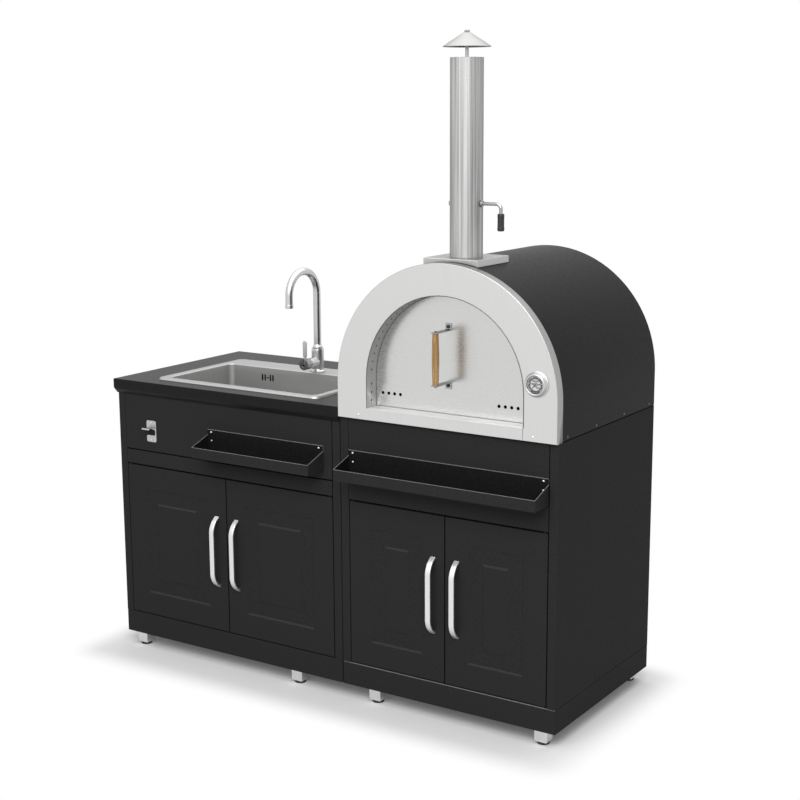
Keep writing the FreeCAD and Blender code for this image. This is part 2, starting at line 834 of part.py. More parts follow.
def tap_lever():
    """Paddle on a narrow neck, with a cross pin that turns in the cap."""
    half = lever_thickness / 2
    neck = lever_neck_width / 2
    shoulder = barrel_z + cap_radius + lever_tilt_room
    near = lever_pin_y - half
    far = lever_pin_y + half
    pivot = V(tap_x, lever_pin_y, barrel_z)
    lower = rod(half, pivot - V(neck, 0, 0), pivot + V(neck, 0, 0))
    stalk = block(tap_x - neck, tap_x + neck, near, far, barrel_z, shoulder)
    wide = lever_width / 2
    paddle = block(tap_x - wide, tap_x + wide, near, far, shoulder, barrel_z + lever_length)
    tip = [e for e in paddle.Edges
           if abs(e.tangentAt(e.FirstParameter).y) > 0.9 and e.BoundBox.ZMin > shoulder + fit_gap]
    paddle = paddle.makeFillet(wide - fit_gap, tip)
    reach = math.sqrt(cap_radius ** 2 - lever_pin_radius ** 2) - fit_gap
    pin = rod(lever_pin_radius, pivot - V(reach, 0, 0), pivot + V(reach, 0, 0))
    return lower.fuse(stalk).fuse(paddle).fuse(pin).removeSplitter()


def oven_deck():
    return block(oven_left, oven_right, front, back, oven_carcass_top, deck_height)


def hearth_board():
    half = chamber_radius + sheet
    return block(oven_mid - half, oven_mid + half, chamber_front + sheet, chamber_rear,
                 deck_height, board_top)


def hearth_stones():
    """Loose fire stones laid in rows inside the chamber."""
    width = 2 * chamber_radius - stone_gap
    depth = chamber_rear - chamber_front - 2 * sheet - stone_gap
    pitch_x = width / stone_columns
    pitch_y = depth / stone_rows
    start_x = oven_mid - width / 2
    start_y = chamber_front + sheet + stone_gap / 2
    stones = []
    for column in range(stone_columns):
        for row in range(stone_rows):
            x = start_x + column * pitch_x + stone_gap / 2
            y = start_y + row * pitch_y + stone_gap / 2
            stones.append(block(x, x + pitch_x - stone_gap, y, y + pitch_y - stone_gap,
                                board_top, stone_top))
    return group(stones)


def flue_hole(radius):
    return rod(radius, V(oven_mid, pipe_y, arch_z), V(oven_mid, pipe_y, pipe_top))


def oven_chamber():
    """Inner arch with a closed rear end, open to the throat, with the flue hole in its crown."""
    outer = arch(chamber_radius + sheet, board_top, chamber_front + sheet, chamber_rear)
    inner = arch(chamber_radius, board_top - sheet, chamber_front, chamber_rear - sheet)
    return outer.cut(inner).cut(flue_hole(pipe_radius))


def insulation_blanket():
    """Fibre blanket that fills the arch between the chamber and the hood."""
    inner_radius = chamber_radius + sheet + blanket_gap
    outer_radius = hood_radius - sheet - blanket_gap
    blanket = arch_band(outer_radius, outer_radius - inner_radius, deck_height,
                        chamber_front + sheet, chamber_rear)
    return blanket.cut(flue_hole(pipe_radius + blanket_gap))


def oven_hood():
    return arch_band(hood_radius, sheet, deck_height, hood_front, back).cut(flue_hole(pipe_radius))


def hood_rear():
    return arch(hood_radius - sheet, deck_height, back - 2 * sheet, back - sheet)


def oven_face():
    """Front pan with a folded edge all round, cut out for the throat and the thermometer neck."""
    rear = hood_front + face_overlap
    pan = arch(face_radius, deck_height, face_y, rear)
    pan = pan.cut(arch(face_radius - sheet, deck_height + sheet, face_y + sheet, rear + sheet))
    pan = pan.cut(mouth_arch(opening_radius + sheet, sill_z - sheet, face_y - sheet, face_y + 2 * sheet))
    neck = V(thermometer_x, face_y, thermometer_z)
    return pan.cut(rod(neck_radius, neck - V(0, sheet, 0), neck + V(0, 2 * sheet, 0)))


def oven_throat():
    """Arched mouth from the face to the chamber, with a sill, a door stop and the chamber's front wall."""
    tunnel = mouth_arch(opening_radius + sheet, sill_z - sheet, face_y, chamber_front + sheet)
    wall = arch(chamber_radius + sheet, board_top, chamber_front, chamber_front + sheet)
    stop_y = oven_door_y + oven_door_depth + seam
    way = mouth_arch(opening_radius, sill_z, face_y - sheet, chamber_front + 2 * sheet)
    body = tunnel.fuse(wall).cut(way)
    stop = mouth_arch(opening_radius + sheet, sill_z, stop_y, stop_y + sheet)
    inside = opening_radius - stop_width
    stop = stop.cut(mouth_arch(inside, sill_z - sheet, stop_y - sheet, stop_y + 2 * sheet))
    probe = V(thermometer_x, chamber_front, thermometer_z)
    probe_hole = rod(probe_radius + fit_gap, probe - V(0, sheet, 0), probe + V(0, 2 * sheet, 0))
    return body.fuse(stop).cut(probe_hole).removeSplitter()


def vent_places():
    """Two rows of draught holes near the lower corners of the oven door, evenly about the grip."""
    middle = oven_mid + grip_offset
    z = sill_z + vent_rise
    reach = oven_door_radius - vent_edge_inset
    return [(middle + side * (reach - n * vent_pitch), z) for side in (-1, 1) for n in range(vent_count)]


def with_vents(plate):
    through = V(0, 2 * oven_door_depth, 0)
    for x, z in vent_places():
        start = V(x, oven_door_y - sheet, z)
        plate = plate.cut(rod(vent_radius, start, start + through))
    return plate


def oven_door():
    """Arched door pan with a folded edge."""
    rear = oven_door_y + oven_door_depth
    pan = mouth_arch(oven_door_radius, oven_door_bottom, oven_door_y, rear)
    inner = oven_door_radius - sheet
    hollow = mouth_arch(inner, oven_door_bottom + sheet, oven_door_y + sheet, rear + sheet)
    return with_vents(pan.cut(hollow))


def oven_door_liner():
    rear = oven_door_y + oven_door_depth
    inner = oven_door_radius - sheet
    return with_vents(mouth_arch(inner, oven_door_bottom + sheet, rear - sheet, rear))


def oven_door_brackets():
    """Two bent straps: a foot bolted to the door and an arm out to the end of the grip."""
    x = oven_mid + grip_offset - bracket_width / 2
    nose = oven_door_y - grip_reach - bracket_nose
    straps = []
    for side in (-1, 1):
        z = sill_z + grip_rise + side * (grip_length / 2)
        arm_far = z + side * bracket_sheet
        foot_far = z + side * bracket_foot
        arm = block(x, x + bracket_width, nose, oven_door_y, min(z, arm_far), max(z, arm_far))
        foot_plate = block(x, x + bracket_width, oven_door_y - bracket_sheet, oven_door_y,
                           min(z, foot_far), max(z, foot_far))
        seat = V(oven_mid + grip_offset, oven_door_y - bracket_sheet, z + side * bolt_inset)
        bolt = rod(bolt_radius, seat, seat - V(0, bolt_height, 0))
        straps.append(arm.fuse(foot_plate).fuse(bolt).removeSplitter())
    return group(straps)


def oven_door_grip():
    """Turned wooden grip, swelled in the middle."""
    centre = V(oven_mid + grip_offset, oven_door_y - grip_reach, sill_z + grip_rise)
    half = grip_length / 2
    low = centre - V(grip_end_radius, 0, half)
    high = centre + V(-grip_end_radius, 0, half)
    belly = Part.Arc(low, centre - V(grip_radius, 0, 0), high).toShape()
    axis_low = centre - V(0, 0, half)
    axis_high = centre + V(0, 0, half)
    outline = Part.Wire([
        Part.makeLine(axis_low, low),
        belly,
        Part.makeLine(high, axis_high),
        Part.makeLine(axis_high, axis_low),
    ])
    return Part.Face(outline).revolve(centre, V(0, 0, 1), 360)


def chimney_base():
    """Square folded cover that saddles the crown of the hood around the pipe."""
    half = chimney_base_side / 2
    low = arch_z + math.sqrt(hood_radius ** 2 - half ** 2) - chimney_base_height
    cover = block(oven_mid - half, oven_mid + half, pipe_y - half, pipe_y + half, low, chimney_base_top)
    inner = half - sheet
    hollow = block(oven_mid - inner, oven_mid + inner, pipe_y - inner, pipe_y + inner,
                   low - sheet, chimney_base_top - sheet)
    cover = cover.cut(hollow).cut(arch(hood_radius, deck_height, front, back))
    return cover.cut(flue_hole(pipe_radius))


def chimney_pipe():
    """Flue pipe from the crown of the chamber to the cap, drilled across for the damper spindle."""
    foot_z = V(oven_mid, pipe_y, pipe_bottom)
    top = V(oven_mid, pipe_y, pipe_top)
    pipe = rod(pipe_radius, foot_z, top).cut(rod(pipe_radius - pipe_wall, foot_z, top))
    centre = V(oven_mid, pipe_y, damper_height)
    across = V(2 * pipe_radius, 0, 0)
    return pipe.cut(rod(spindle_radius + running_clearance, centre - across, centre + across))


def rain_cap():
    """Thin cone over the pipe, drilled at the tip for its stem."""
    foot_z = V(oven_mid, pipe_y, cap_base)
    cone = Part.makeCone(cap_cone_radius, stem_radius + sheet, cap_cone_height, foot_z)
    under = Part.makeCone(cap_cone_radius, stem_radius + sheet, cap_cone_height, foot_z - V(0, 0, sheet))
    bore = rod(stem_radius, foot_z, foot_z + V(0, 0, 2 * cap_cone_height))
    return cone.cut(under).cut(bore)


def cap_stem():
    """Stem on a strap across the pipe, with a domed nut above the cone."""
    strap_top = pipe_top - stem_strap_drop
    reach = math.sqrt((pipe_radius - pipe_wall) ** 2 - (stem_strap_width / 2) ** 2)
    half = stem_strap_width / 2
    strap = block(oven_mid - reach, oven_mid + reach, pipe_y - half, pipe_y + half,
                  strap_top - stem_strap_height, strap_top)
    seat = V(oven_mid, pipe_y, cap_base + cap_cone_height)
    stem = rod(stem_radius, V(oven_mid, pipe_y, strap_top - stem_strap_height), seat)
    nut = Part.makeCone(stem_nut_radius, stem_radius, stem_nut_height, seat)
    return strap.fuse(stem).fuse(nut).removeSplitter()


def damper():
    """Butterfly plate on a spindle through the pipe, whose outer end bends down as a crank."""
    centre = V(oven_mid, pipe_y, damper_height)
    plate_radius = pipe_radius - pipe_wall - damper_gap
    half = V(0, damper_thickness / 2, 0)
    plate = rod(plate_radius, centre - half, centre + half)
    tail = centre - V(pipe_radius + spindle_tail, 0, 0)
    bend_start = centre + V(spindle_reach - spindle_bend, 0, 0)
    diagonal = spindle_bend * math.sqrt(0.5)
    bend_middle = bend_start + V(diagonal, 0, diagonal - spindle_bend)
    bend_end = bend_start + V(spindle_bend, 0, -spindle_bend)
    arm_end = centre + V(spindle_reach, 0, -damper_arm - damper_grip_bore)
    route = Part.Wire([
        Part.makeLine(tail, bend_start),
        Part.Arc(bend_start, bend_middle, bend_end).toShape(),
        Part.makeLine(bend_end, arm_end),
    ])
    section = Part.Wire(Part.makeCircle(spindle_radius, tail, V(1, 0, 0)))
    spindle = route.makePipeShell([section], True, True)
    for side in (-1, 1):
        near = centre + V(side * (pipe_radius + collar_gap), 0, 0)
        spindle = spindle.fuse(rod(collar_radius, near, near + V(side * collar_width, 0, 0)))
    return spindle.fuse(plate).removeSplitter()


def damper_grip():
    top = V(oven_mid + spindle_reach, pipe_y, damper_height - damper_arm)
    body = rod(damper_grip_radius, top, top - V(0, 0, damper_grip_length))
    ends = [e for e in body.Edges if e.Closed]
    body = body.makeFillet(damper_grip_radius / 4, ends)
    return body.cut(rod(spindle_radius, top, top - V(0, 0, damper_grip_bore)))


def dial_turned(profile):
    """Solid turned about the thermometer's axis: heights count forward from the oven face."""
    return turned(profile, V(thermometer_x, face_y, thermometer_z), V(0, -1, 0), V(1, 0, 0))


def thermometer_case():
    """Conical bezel with a recess for the dial, a neck through the face and a probe into the chamber."""
    floor = bezel_height - dial_recess
    profile = [
        (0, floor), (dial_radius, floor), (dial_radius, bezel_height), (bezel_front_radius, bezel_height),
        (bezel_radius, dial_thickness), (bezel_radius, 0), (neck_radius, 0), (neck_radius, -neck_length),
        (probe_radius, -neck_length), (probe_radius, -probe_length), (0, -probe_length),
    ]
    case = dial_turned(profile)
    seat = V(thermometer_x, face_y - floor, thermometer_z)
    blind = needle_pivot_radius + fit_gap
    return case.cut(rod(blind, seat, seat + V(0, needle_pivot_length, 0)))


def thermometer_dial():
    floor = bezel_height - dial_recess
    top = floor + dial_thickness
    bore = needle_pivot_radius + running_clearance
    return dial_turned([(bore, floor), (dial_radius, floor), (dial_radius, top), (bore, top)])


def thermometer_needle():
    """Pointer with a counter tail on a small pivot."""
    low = bezel_height - dial_recess + dial_thickness + needle_lift
    high = low + needle_thickness
    pivot_low = high - needle_pivot_length
    hub = dial_turned([(0, pivot_low), (needle_pivot_radius, pivot_low), (needle_pivot_radius, low),
                       (needle_hub_radius, low), (needle_hub_radius, high), (0, high)])
    y = face_y - high
    half = needle_width / 2
    angle = math.radians(needle_rest_angle)
    along = V(math.cos(angle), 0, math.sin(angle))
    across = V(-math.sin(angle), 0, math.cos(angle)) * half
    centre = V(thermometer_x, y, thermometer_z)
    pointer = prism([centre - across, centre + along * needle_length, centre + across,
                     centre - along * needle_hub_radius * 2], V(0, needle_thickness, 0))
    return hub.fuse(pointer).removeSplitter()


def thermometer_lens():
    low = bezel_height - lens_thickness
    return dial_turned([(0, low), (dial_radius, low), (dial_radius, bezel_height), (0, bezel_height)])


sink_tray_span, oven_tray_span = tray_spans()

nodes = {
    "sink_base": base_pan(sink_left, sink_right),
    "sink_side_panels": side_panels(sink_left, sink_right, sink_carcass_top),
    "sink_back_panel": back_panel(sink_left, sink_right, sink_carcass_top),
    "sink_rail": door_header(sink_left, sink_right, rail_top),
    "sink_apron": front_panel(sink_left, sink_right, rail_top + seam, sink_carcass_top),
    "worktop": worktop(),
    "sink_bowl": sink_bowl(),
    "drain_cup": drain_cup(),
    "drain_nut": drain_nut(),
    "strainer_basket": strainer_basket(),
    "tap_body": tap_body(),
    "tap_nut": tap_nut(),
    "tap_spout": tap_spout(),
    "tap_aerator": tap_aerator(),
    "tap_cap": tap_cap(),
    "tap_lever": tap_lever(),
    "sink_tray": tray(*sink_tray_span),
    "bottle_opener": bottle_opener(),
    "oven_base": base_pan(oven_left, oven_right),
    "oven_side_panels": side_panels(oven_left, oven_right, oven_carcass_top),
    "oven_back_panel": back_panel(oven_left, oven_right, oven_carcass_top),
    "oven_tray_panel": door_header(oven_left, oven_right, tray_panel_top),
    "oven_fascia": front_panel(oven_left, oven_right, tray_panel_top + seam, oven_carcass_top),
    "oven_deck": oven_deck(),
    "oven_tray": tray(*oven_tray_span),
    "hearth_board": hearth_board(),
    "hearth_stones": hearth_stones(),
    "oven_chamber": oven_chamber(),
    "insulation_blanket": insulation_blanket(),
    "oven_hood": oven_hood(),
    "hood_rear": hood_rear(),
    "oven_face": oven_face(),
    "oven_throat": oven_throat(),
    "oven_door": oven_door(),
    "oven_door_liner": oven_door_liner(),
    "oven_door_brackets": oven_door_brackets(),
    "oven_door_grip": oven_door_grip(),
    "chimney_base": chimney_base(),
    "chimney_pipe": chimney_pipe(),
    "rain_cap": rain_cap(),
    "cap_stem": cap_stem(),
    "damper": damper(),
    "damper_grip": damper_grip(),
    "thermometer_case": thermometer_case(),
    "thermometer_dial": thermometer_dial(),
    "thermometer_needle": thermometer_needle(),
    "thermometer_lens": thermometer_lens(),
    "feet": group([foot(x, y) for x, y in feet_places()]),
    "foot_pads": group([pad(x, y) for x, y in feet_places()]),
    "hinge_pins": hinge_pins(),
    "panel_screws": panel_screws(),
}
for unit, left, right in (("sink", sink_left, sink_right), ("oven", oven_left, oven_right)):
    for hand, side in (("left", -1), ("right", 1)):
        nodes[f"{unit}_{hand}_door"] = cabinet_door(left, right, side)
        nodes[f"{unit}_{hand}_handle"] = bow_handle(left, right, side)

os.makedirs("parts", exist_ok=True)
for name, shape in nodes.items():
    shape.exportStep(f"parts/{name}.step")
print(len(nodes), "nodes")
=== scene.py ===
import bmesh
import bpy
import json
import math
from mathutils import Matrix, Vector


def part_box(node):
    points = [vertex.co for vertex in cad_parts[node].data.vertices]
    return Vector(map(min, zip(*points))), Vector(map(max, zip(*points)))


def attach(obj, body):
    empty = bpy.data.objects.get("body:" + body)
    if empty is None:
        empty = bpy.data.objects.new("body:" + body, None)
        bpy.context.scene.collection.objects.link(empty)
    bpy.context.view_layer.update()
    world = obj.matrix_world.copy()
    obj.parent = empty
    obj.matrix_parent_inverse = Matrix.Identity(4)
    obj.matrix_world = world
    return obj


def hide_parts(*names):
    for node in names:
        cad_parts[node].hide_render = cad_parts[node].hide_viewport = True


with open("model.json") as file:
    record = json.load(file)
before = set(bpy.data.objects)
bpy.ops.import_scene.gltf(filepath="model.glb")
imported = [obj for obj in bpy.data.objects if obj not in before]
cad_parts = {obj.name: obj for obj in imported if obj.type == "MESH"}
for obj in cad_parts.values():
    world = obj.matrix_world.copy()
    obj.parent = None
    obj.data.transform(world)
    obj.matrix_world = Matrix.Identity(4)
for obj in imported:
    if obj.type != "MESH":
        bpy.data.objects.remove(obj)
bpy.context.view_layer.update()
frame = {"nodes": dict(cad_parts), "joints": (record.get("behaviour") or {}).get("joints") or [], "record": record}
record = frame["record"]
body_of = {node: body for body, nodes in record["behaviour"]["bodies"].items() for node in nodes}
slot_of = {part["node"]: part["material_slot"] for part in record["subparts"]}
joint = {j["name"]: j for j in frame["joints"]}

X, Y, Z = Vector((1, 0, 0)), Vector((0, 1, 0)), Vector((0, 0, 1))
POINT, LINE, PATCH = bmesh.types.BMVert, bmesh.types.BMEdge, bmesh.types.BMFace
WELD = 1e-6
NEAR = 1e-6
SMOOTH_UP_TO = 32.0

# Sizes in metres
SHEET, FOLD, PAN_ROUND = 0.0015, 0.0022, 0.0035
SEAM, SEAM_ROUND, HEM = 0.0012, 0.0002, 0.0012
POST_WIDTH, POST_RETURN, REAR_FOLD = 0.028, 0.022, 0.02
TRAY_LIP, TRAY_CHEEK = 0.033, 0.06
FRAME_INSET, FRAME_WIDTH, PRESS_DEPTH = 0.074, 0.052, 0.003
PIVOT_BLOCK = 0.018
BOW_BAR, BOW_SLOPE, BOW_BEND = 0.007, 0.024, 0.025
LEG_HALF, PAD_RADIUS, PAD_HEIGHT = 0.02, 0.018, 0.008
BOWL_MARGIN, CUTOUT_MARGIN = 0.008, 0.004
BOWL_WALL, BOWL_CORNER, BOWL_FOOT = 0.0012, 0.018, 0.018
OVERFLOW_LEFT, WASTE_HOLE = 0.132, 0.043
MOUTH_GAP, SILL_GAP = 0.004, 0.0005
FRONT_ROLL, DOOR_ROLL = 0.0024, 0.0034
VENT_RADIUS, VENT_PITCH, VENT_RISE, VENT_SIDE = 0.005, 0.02, 0.04, 0.033
STRAP_HALF = 0.01
FOOTPRINT_HALF = (0.8, 0.35, 0)


# Finishes

def set_sockets(node, sockets):
    for socket, value in sockets.items():
        node.inputs[socket.replace("_", " ")].default_value = value


def add_node(tree, kind, **sockets):
    """Add a shader node; an underscore stands for the space in a socket's name."""
    node = tree.nodes.new("ShaderNode" + kind)
    set_sockets(node, sockets)
    return node


def feed(finish, output, socket):
    tree = finish.node_tree
    tree.links.new(output, tree.nodes["Principled BSDF"].inputs[socket])


def new_finish(name, color, metallic, roughness, **more):
    finish = bpy.data.materials.new(name)
    finish.use_nodes = True
    shader = finish.node_tree.nodes["Principled BSDF"]
    set_sockets(shader, {"Base Color": (*color, 1), "Metallic": metallic, "Roughness": roughness, **more})
    return finish


def grain(finish, scale, stretch=(1, 1, 1), detail=4.0, distortion=0.0):
    """Noise on object coordinates: scale counts features per metre, stretch packs them along an axis."""
    tree = finish.node_tree
    place = add_node(tree, "TexCoord")
    mapping = add_node(tree, "Mapping", Scale=stretch)
    noise = add_node(tree, "TexNoise", Scale=scale, Detail=detail, Distortion=distortion)
    tree.links.new(place.outputs["Object"], mapping.inputs["Vector"])
    tree.links.new(mapping.outputs["Vector"], noise.inputs["Vector"])
    return noise.outputs["Fac"]


def tinted(finish, source, dark, light, low=0.3, high=0.7):
    ramp = add_node(finish.node_tree, "ValToRGB")
    for n, position, color in ((0, low, dark), (1, high, light)):
        ramp.color_ramp.elements[n].position = position
        ramp.color_ramp.elements[n].color = (*color, 1)
    finish.node_tree.links.new(source, ramp.inputs["Fac"])
    feed(finish, ramp.outputs["Color"], "Base Color")


def polished(finish, source, low, high):
    spread = add_node(finish.node_tree, "MapRange", From_Min=0.3, From_Max=0.7, To_Min=low, To_Max=high)
    finish.node_tree.links.new(source, spread.inputs["Value"])
    feed(finish, spread.outputs["Result"], "Roughness")


def raised(finish, source, strength, distance):
    bump = add_node(finish.node_tree, "Bump", Strength=strength, Distance=distance)
    finish.node_tree.links.new(source, bump.inputs["Height"])
    feed(finish, bump.outputs["Normal"], "Normal")


def grey(tone, cool=0.0):
    return tone, tone, tone + cool


def powder_coat(name, dark, light, gloss, specular, cool=0.0005):
    finish = new_finish(name, grey(light, cool), 0.0, gloss, Specular_IOR_Level=specular)
    tinted(finish, grain(finish, 240.0, detail=3.0), grey(dark, cool), grey(light, cool))
    polished(finish, grain(finish, 160.0), gloss - 0.05, gloss + 0.06)
    raised(finish, grain(finish, 900.0, detail=2.0), 0.16, 0.0004)
    return finish


def brushed(name, tone, gloss, stretch, edge=0.6, depth=0.04, contrast=0.035):
    """Steel whose fine lines run along the axis with the small stretch; edge tints it at a grazing angle."""
    finish = new_finish(name, grey(tone), 1.0, gloss, Specular_Tint=(*grey(edge), 1))
    lines = grain(finish, 1.0, stretch, detail=5.0)
    low, high = tone * (1 - contrast), tone * (1 + contrast)
    tinted(finish, lines, (low, low, low * 0.99), (high, high, high * 0.995))
    spread = min(contrast, 0.06)
    polished(finish, lines, gloss - spread, gloss + spread)
    raised(finish, lines, depth, 0.0002)
    return finish


def chromed(name, tone, gloss, edge=0.6):
    light = (tone, tone, tone * 1.01)
    finish = new_finish(name, light, 1.0, gloss, Specular_Tint=(*grey(edge), 1))
    smears = grain(finish, 30.0, detail=2.0)
    tinted(finish, smears, (tone * 0.96, tone * 0.96, tone * 0.97), light)
    polished(finish, smears, gloss * 0.92, gloss * 1.1)
    return finish


def speckled(name, dark, light, gloss, scale, depth, **more):
    finish = new_finish(name, light, 0.0, gloss, **more)
    spots = grain(finish, scale, detail=6.0)
    tinted(finish, spots, dark, light)
    polished(finish, grain(finish, scale * 2), gloss - 0.06, gloss + 0.06)
    raised(finish, spots, depth, 0.0006)
    return finish


def oiled_wood():
    finish = new_finish("oiled_wood", (0.6, 0.34, 0.12), 0.0, 0.42)
    rings = grain(finish, 1.0, (260, 260, 11), detail=7.0, distortion=0.6)
    tinted(finish, rings, (0.23, 0.12, 0.038), (0.44, 0.28, 0.115), 0.36, 0.62)
    polished(finish, grain(finish, 1.0, (420, 420, 30)), 0.36, 0.52)
    raised(finish, rings, 0.12, 0.0003)
    return finish


def clear_glass():
    finish = new_finish("clear_glass", (0.98, 0.99, 0.99), 0.0, 0.03, Alpha=0.05)
    polished(finish, grain(finish, 60.0), 0.02, 0.05)
    return finish


def turned_brass():
    finish = new_finish("turned_brass", (0.5, 0.5, 0.505), 1.0, 0.25, Specular_Tint=(*grey(0.6), 1))
    tinted(finish, grain(finish, 60.0), (0.46, 0.33, 0.13), (0.6, 0.45, 0.2))
    polished(finish, grain(finish, 30.0, detail=2.0), 0.23, 0.275)
    return finish


def sooted_steel():
    """Chamber sheet: browned by heat and blackened in clouds."""
    finish = new_finish("sooted_steel", (0.3, 0.27, 0.24), 0.9, 0.5)
    clouds = grain(finish, 7.0, detail=8.0, distortion=0.4)
    tinted(finish, clouds, (0.1, 0.09, 0.085), (0.46, 0.42, 0.37))
    polished(finish, clouds, 0.62, 0.42)
    raised(finish, grain(finish, 300.0), 0.1, 0.0004)
    return finish


BLACK = powder_coat("black_powder", 0.022, 0.032, 0.5, 0.012)
HOOD = powder_coat("hood_powder", 0.012, 0.019, 0.42, 0.042)
# Painted shade: a darker copy of the black coat for the trays' insides and the doors' edges in the gaps.
PAINTED_SHADE = powder_coat("shaded_powder", 0.009, 0.016, 0.6, 0.012, cool=0)
# Painted light: a lighter copy of the black coat for the up-facing slopes of the doors' pressed frames.
PAINTED_LIT_SLOPES = powder_coat("pressed_powder", 0.036, 0.048, 0.5, 0.012)
# Painted highlight: a light grey coat on folded edges, tray rims and hems; the hood's screws take it as their own
# grey.
HIGHLIGHT_AND_SCREW_GREY = powder_coat("edge_powder", 0.14, 0.2, 0.45, 0.05, cool=0)
TOP = powder_coat("worktop_satin", 0.011, 0.015, 0.36, 0.06)
FACE = brushed("face_steel", 0.665, 0.36, (700, 700, 5), depth=0.025, contrast=0.02)
# Painted shade: a darker copy of the face steel, brushed across, for the front's rolled edge and side return.
SHADED_EDGE_STEEL = brushed("face_edge_steel", 0.4, 0.34, (700, 6, 700), 0.5)
DOOR_STEEL = brushed("door_steel", 0.63, 0.27, (6, 700, 700), depth=0.006, contrast=0.012)
# Painted highlight: a lighter steel for the top of the sill cover.
SILL_HIGHLIGHT_STEEL = brushed("sill_steel", 0.78, 0.6, (6, 700, 700), 0.8)
PIPE = brushed("pipe_steel", 0.41, 0.56, (150, 150, 1.5), 0.3, contrast=0.42)
CONE = brushed("cone_steel", 0.43, 0.45, (420, 420, 40), 0.4)
JAMB = brushed("jamb_steel", 0.46, 0.58, (700, 6, 700), 0.5)
PLATE = brushed("plate_steel", 0.5, 0.34, (5, 600, 600), 0.55)
BOWL = brushed("bowl_steel", 0.47, 0.47, (7, 500, 500), 0.6)
SATIN = brushed("satin_steel", 0.74, 0.5, (900, 900, 12), 0.8)
ROD = brushed("rod_steel", 0.4, 0.26, (12, 800, 800))
CHROME = chromed("tap_chrome", 0.6, 0.32)
FOOT = chromed("foot_chrome", 0.78, 0.36, 0.8)
# Painted shadow: dark steel on the mouth's bead stands for the gap's shadow line.
SHADOW_BEAD = chromed("mouth_bead_steel", 0.16, 0.4, 0.3)
DARK_CHROME = chromed("cap_chrome", 0.34, 0.16)
WOOD = oiled_wood()
PLASTIC = speckled("grip_plastic", grey(0.008), grey(0.016), 0.45, 400.0, 0.12)
RUBBER = speckled("pad_rubber", grey(0.006), grey(0.014), 0.7, 500.0, 0.2)
ENAMEL = speckled("dial_enamel", (0.6, 0.6, 0.58), (0.68, 0.68, 0.66), 0.35, 200.0, 0.02)
INK = speckled("dial_ink", grey(0.008), grey(0.014), 0.5, 900.0, 0.05)
GLASS = clear_glass()
STONE = speckled("fire_stone", (0.36, 0.29, 0.22), (0.58, 0.5, 0.4), 0.85, 90.0, 0.4)
BOARD = speckled("silicate_board", (0.58, 0.54, 0.47), (0.7, 0.66, 0.59), 0.9, 160.0, 0.2)
FIBRE = speckled("fibre_blanket", (0.7, 0.69, 0.66), (0.84, 0.83, 0.8), 0.95, 120.0, 0.5)
BRASS = turned_brass()
SOOT = sooted_steel()
# Painted shadow: near-black for gaps, slots, holes and the aerator's grid.
SHADOW_BLACK = speckled("open_dark", grey(0.002), grey(0.004), 0.9, 200.0, 0.05, Specular_IOR_Level=0.01)


# Modelling helpers

def in_scene(name, data):
    """Put a mesh, a text, a lamp or a camera into the scene."""
    thing = bpy.data.objects.new(name, data)
    bpy.context.scene.collection.objects.link(thing)
    return thing


def mesh_of(name, bm):
    """Turn a bmesh into a mesh, and free it."""
    mesh = bpy.data.meshes.new(name)
    bm.to_mesh(mesh)
    bm.free()
    return mesh


def finished_mesh(thing):
    """The mesh of an object with its modifiers carried out."""
    bpy.context.view_layer.update()
    graph = bpy.context.evaluated_depsgraph_get()
    return bpy.data.meshes.new_from_object(thing.evaluated_get(graph))


def join_into(bm, part):
    """Add a finished bmesh to another."""
    mesh = mesh_of("part", part)
    bm.from_mesh(mesh)
    bpy.data.meshes.remove(mesh)


def even_shading(piece):
    piece.data.set_sharp_from_angle(angle=math.radians(SMOOTH_UP_TO))
    even = piece.modifiers.new("even_shading", "WEIGHTED_NORMAL")
    even.keep_sharp = True
    even.weight = 100


def add_piece(name, bm, body, slot, finish, *nodes, weld=True, smooth=True):
    """Turn a bmesh into a piece that rides on a body and may stand for CAD nodes."""
    if weld:
        bmesh.ops.remove_doubles(bm, verts=bm.verts, dist=WELD)
    piece = in_scene(name, mesh_of(name, bm))
    piece.data.materials.append(finish)
    if smooth:
        piece.data.shade_smooth()
        even_shading(piece)
    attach(piece, body)
    if nodes:
        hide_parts(*nodes)
    return piece


def dress(node, name, bm, finish, weld=True):
    """The piece that stands for a CAD node, on that node's body."""
    return add_piece(name, bm, body_of[node], slot_of[node], finish, node, weld=weld)


def pick_out(piece, finish, test):
    """Give the faces that pass a test another finish."""
    piece.data.materials.append(finish)
    last = len(piece.data.materials) - 1
    for face in piece.data.polygons:
        if test(face):
            face.material_index = last
    return piece


def move_up(piece, modifier, index):
    bpy.context.view_layer.objects.active = piece
    with bpy.context.temp_override(object=piece):
        bpy.ops.object.modifier_move_to_index(modifier=modifier, index=index)


def thicken(piece, wall=SHEET):
    """Give a modelled skin its sheet thickness, ahead of the even shading."""
    skin = piece.modifiers.new("sheet", "SOLIDIFY")
    skin.thickness = wall
    skin.offset = -1.0
    skin.use_even_offset = True
    move_up(piece, "sheet", 0)
    return piece


def turn_to(bm, direction):
    """Make one open skin's normals agree, with its largest face towards the given direction."""
    bmesh.ops.recalc_face_normals(bm, faces=bm.faces)
    bm.normal_update()
    lead = max(bm.faces, key=lambda f: f.calc_area() * abs(f.normal.dot(direction)))
    if lead.normal.dot(direction) < 0:
        bmesh.ops.reverse_faces(bm, faces=bm.faces)


def outward(bm):
    bmesh.ops.remove_doubles(bm, verts=bm.verts, dist=WELD)
    bmesh.ops.recalc_face_normals(bm, faces=bm.faces)


def round_edges(bm, edges, radius, segments=3):
    if edges:
        bmesh.ops.bevel(bm, geom=edges, offset=radius, offset_type="OFFSET", segments=segments, profile=0.5,
                        affect="EDGES", material=-1)


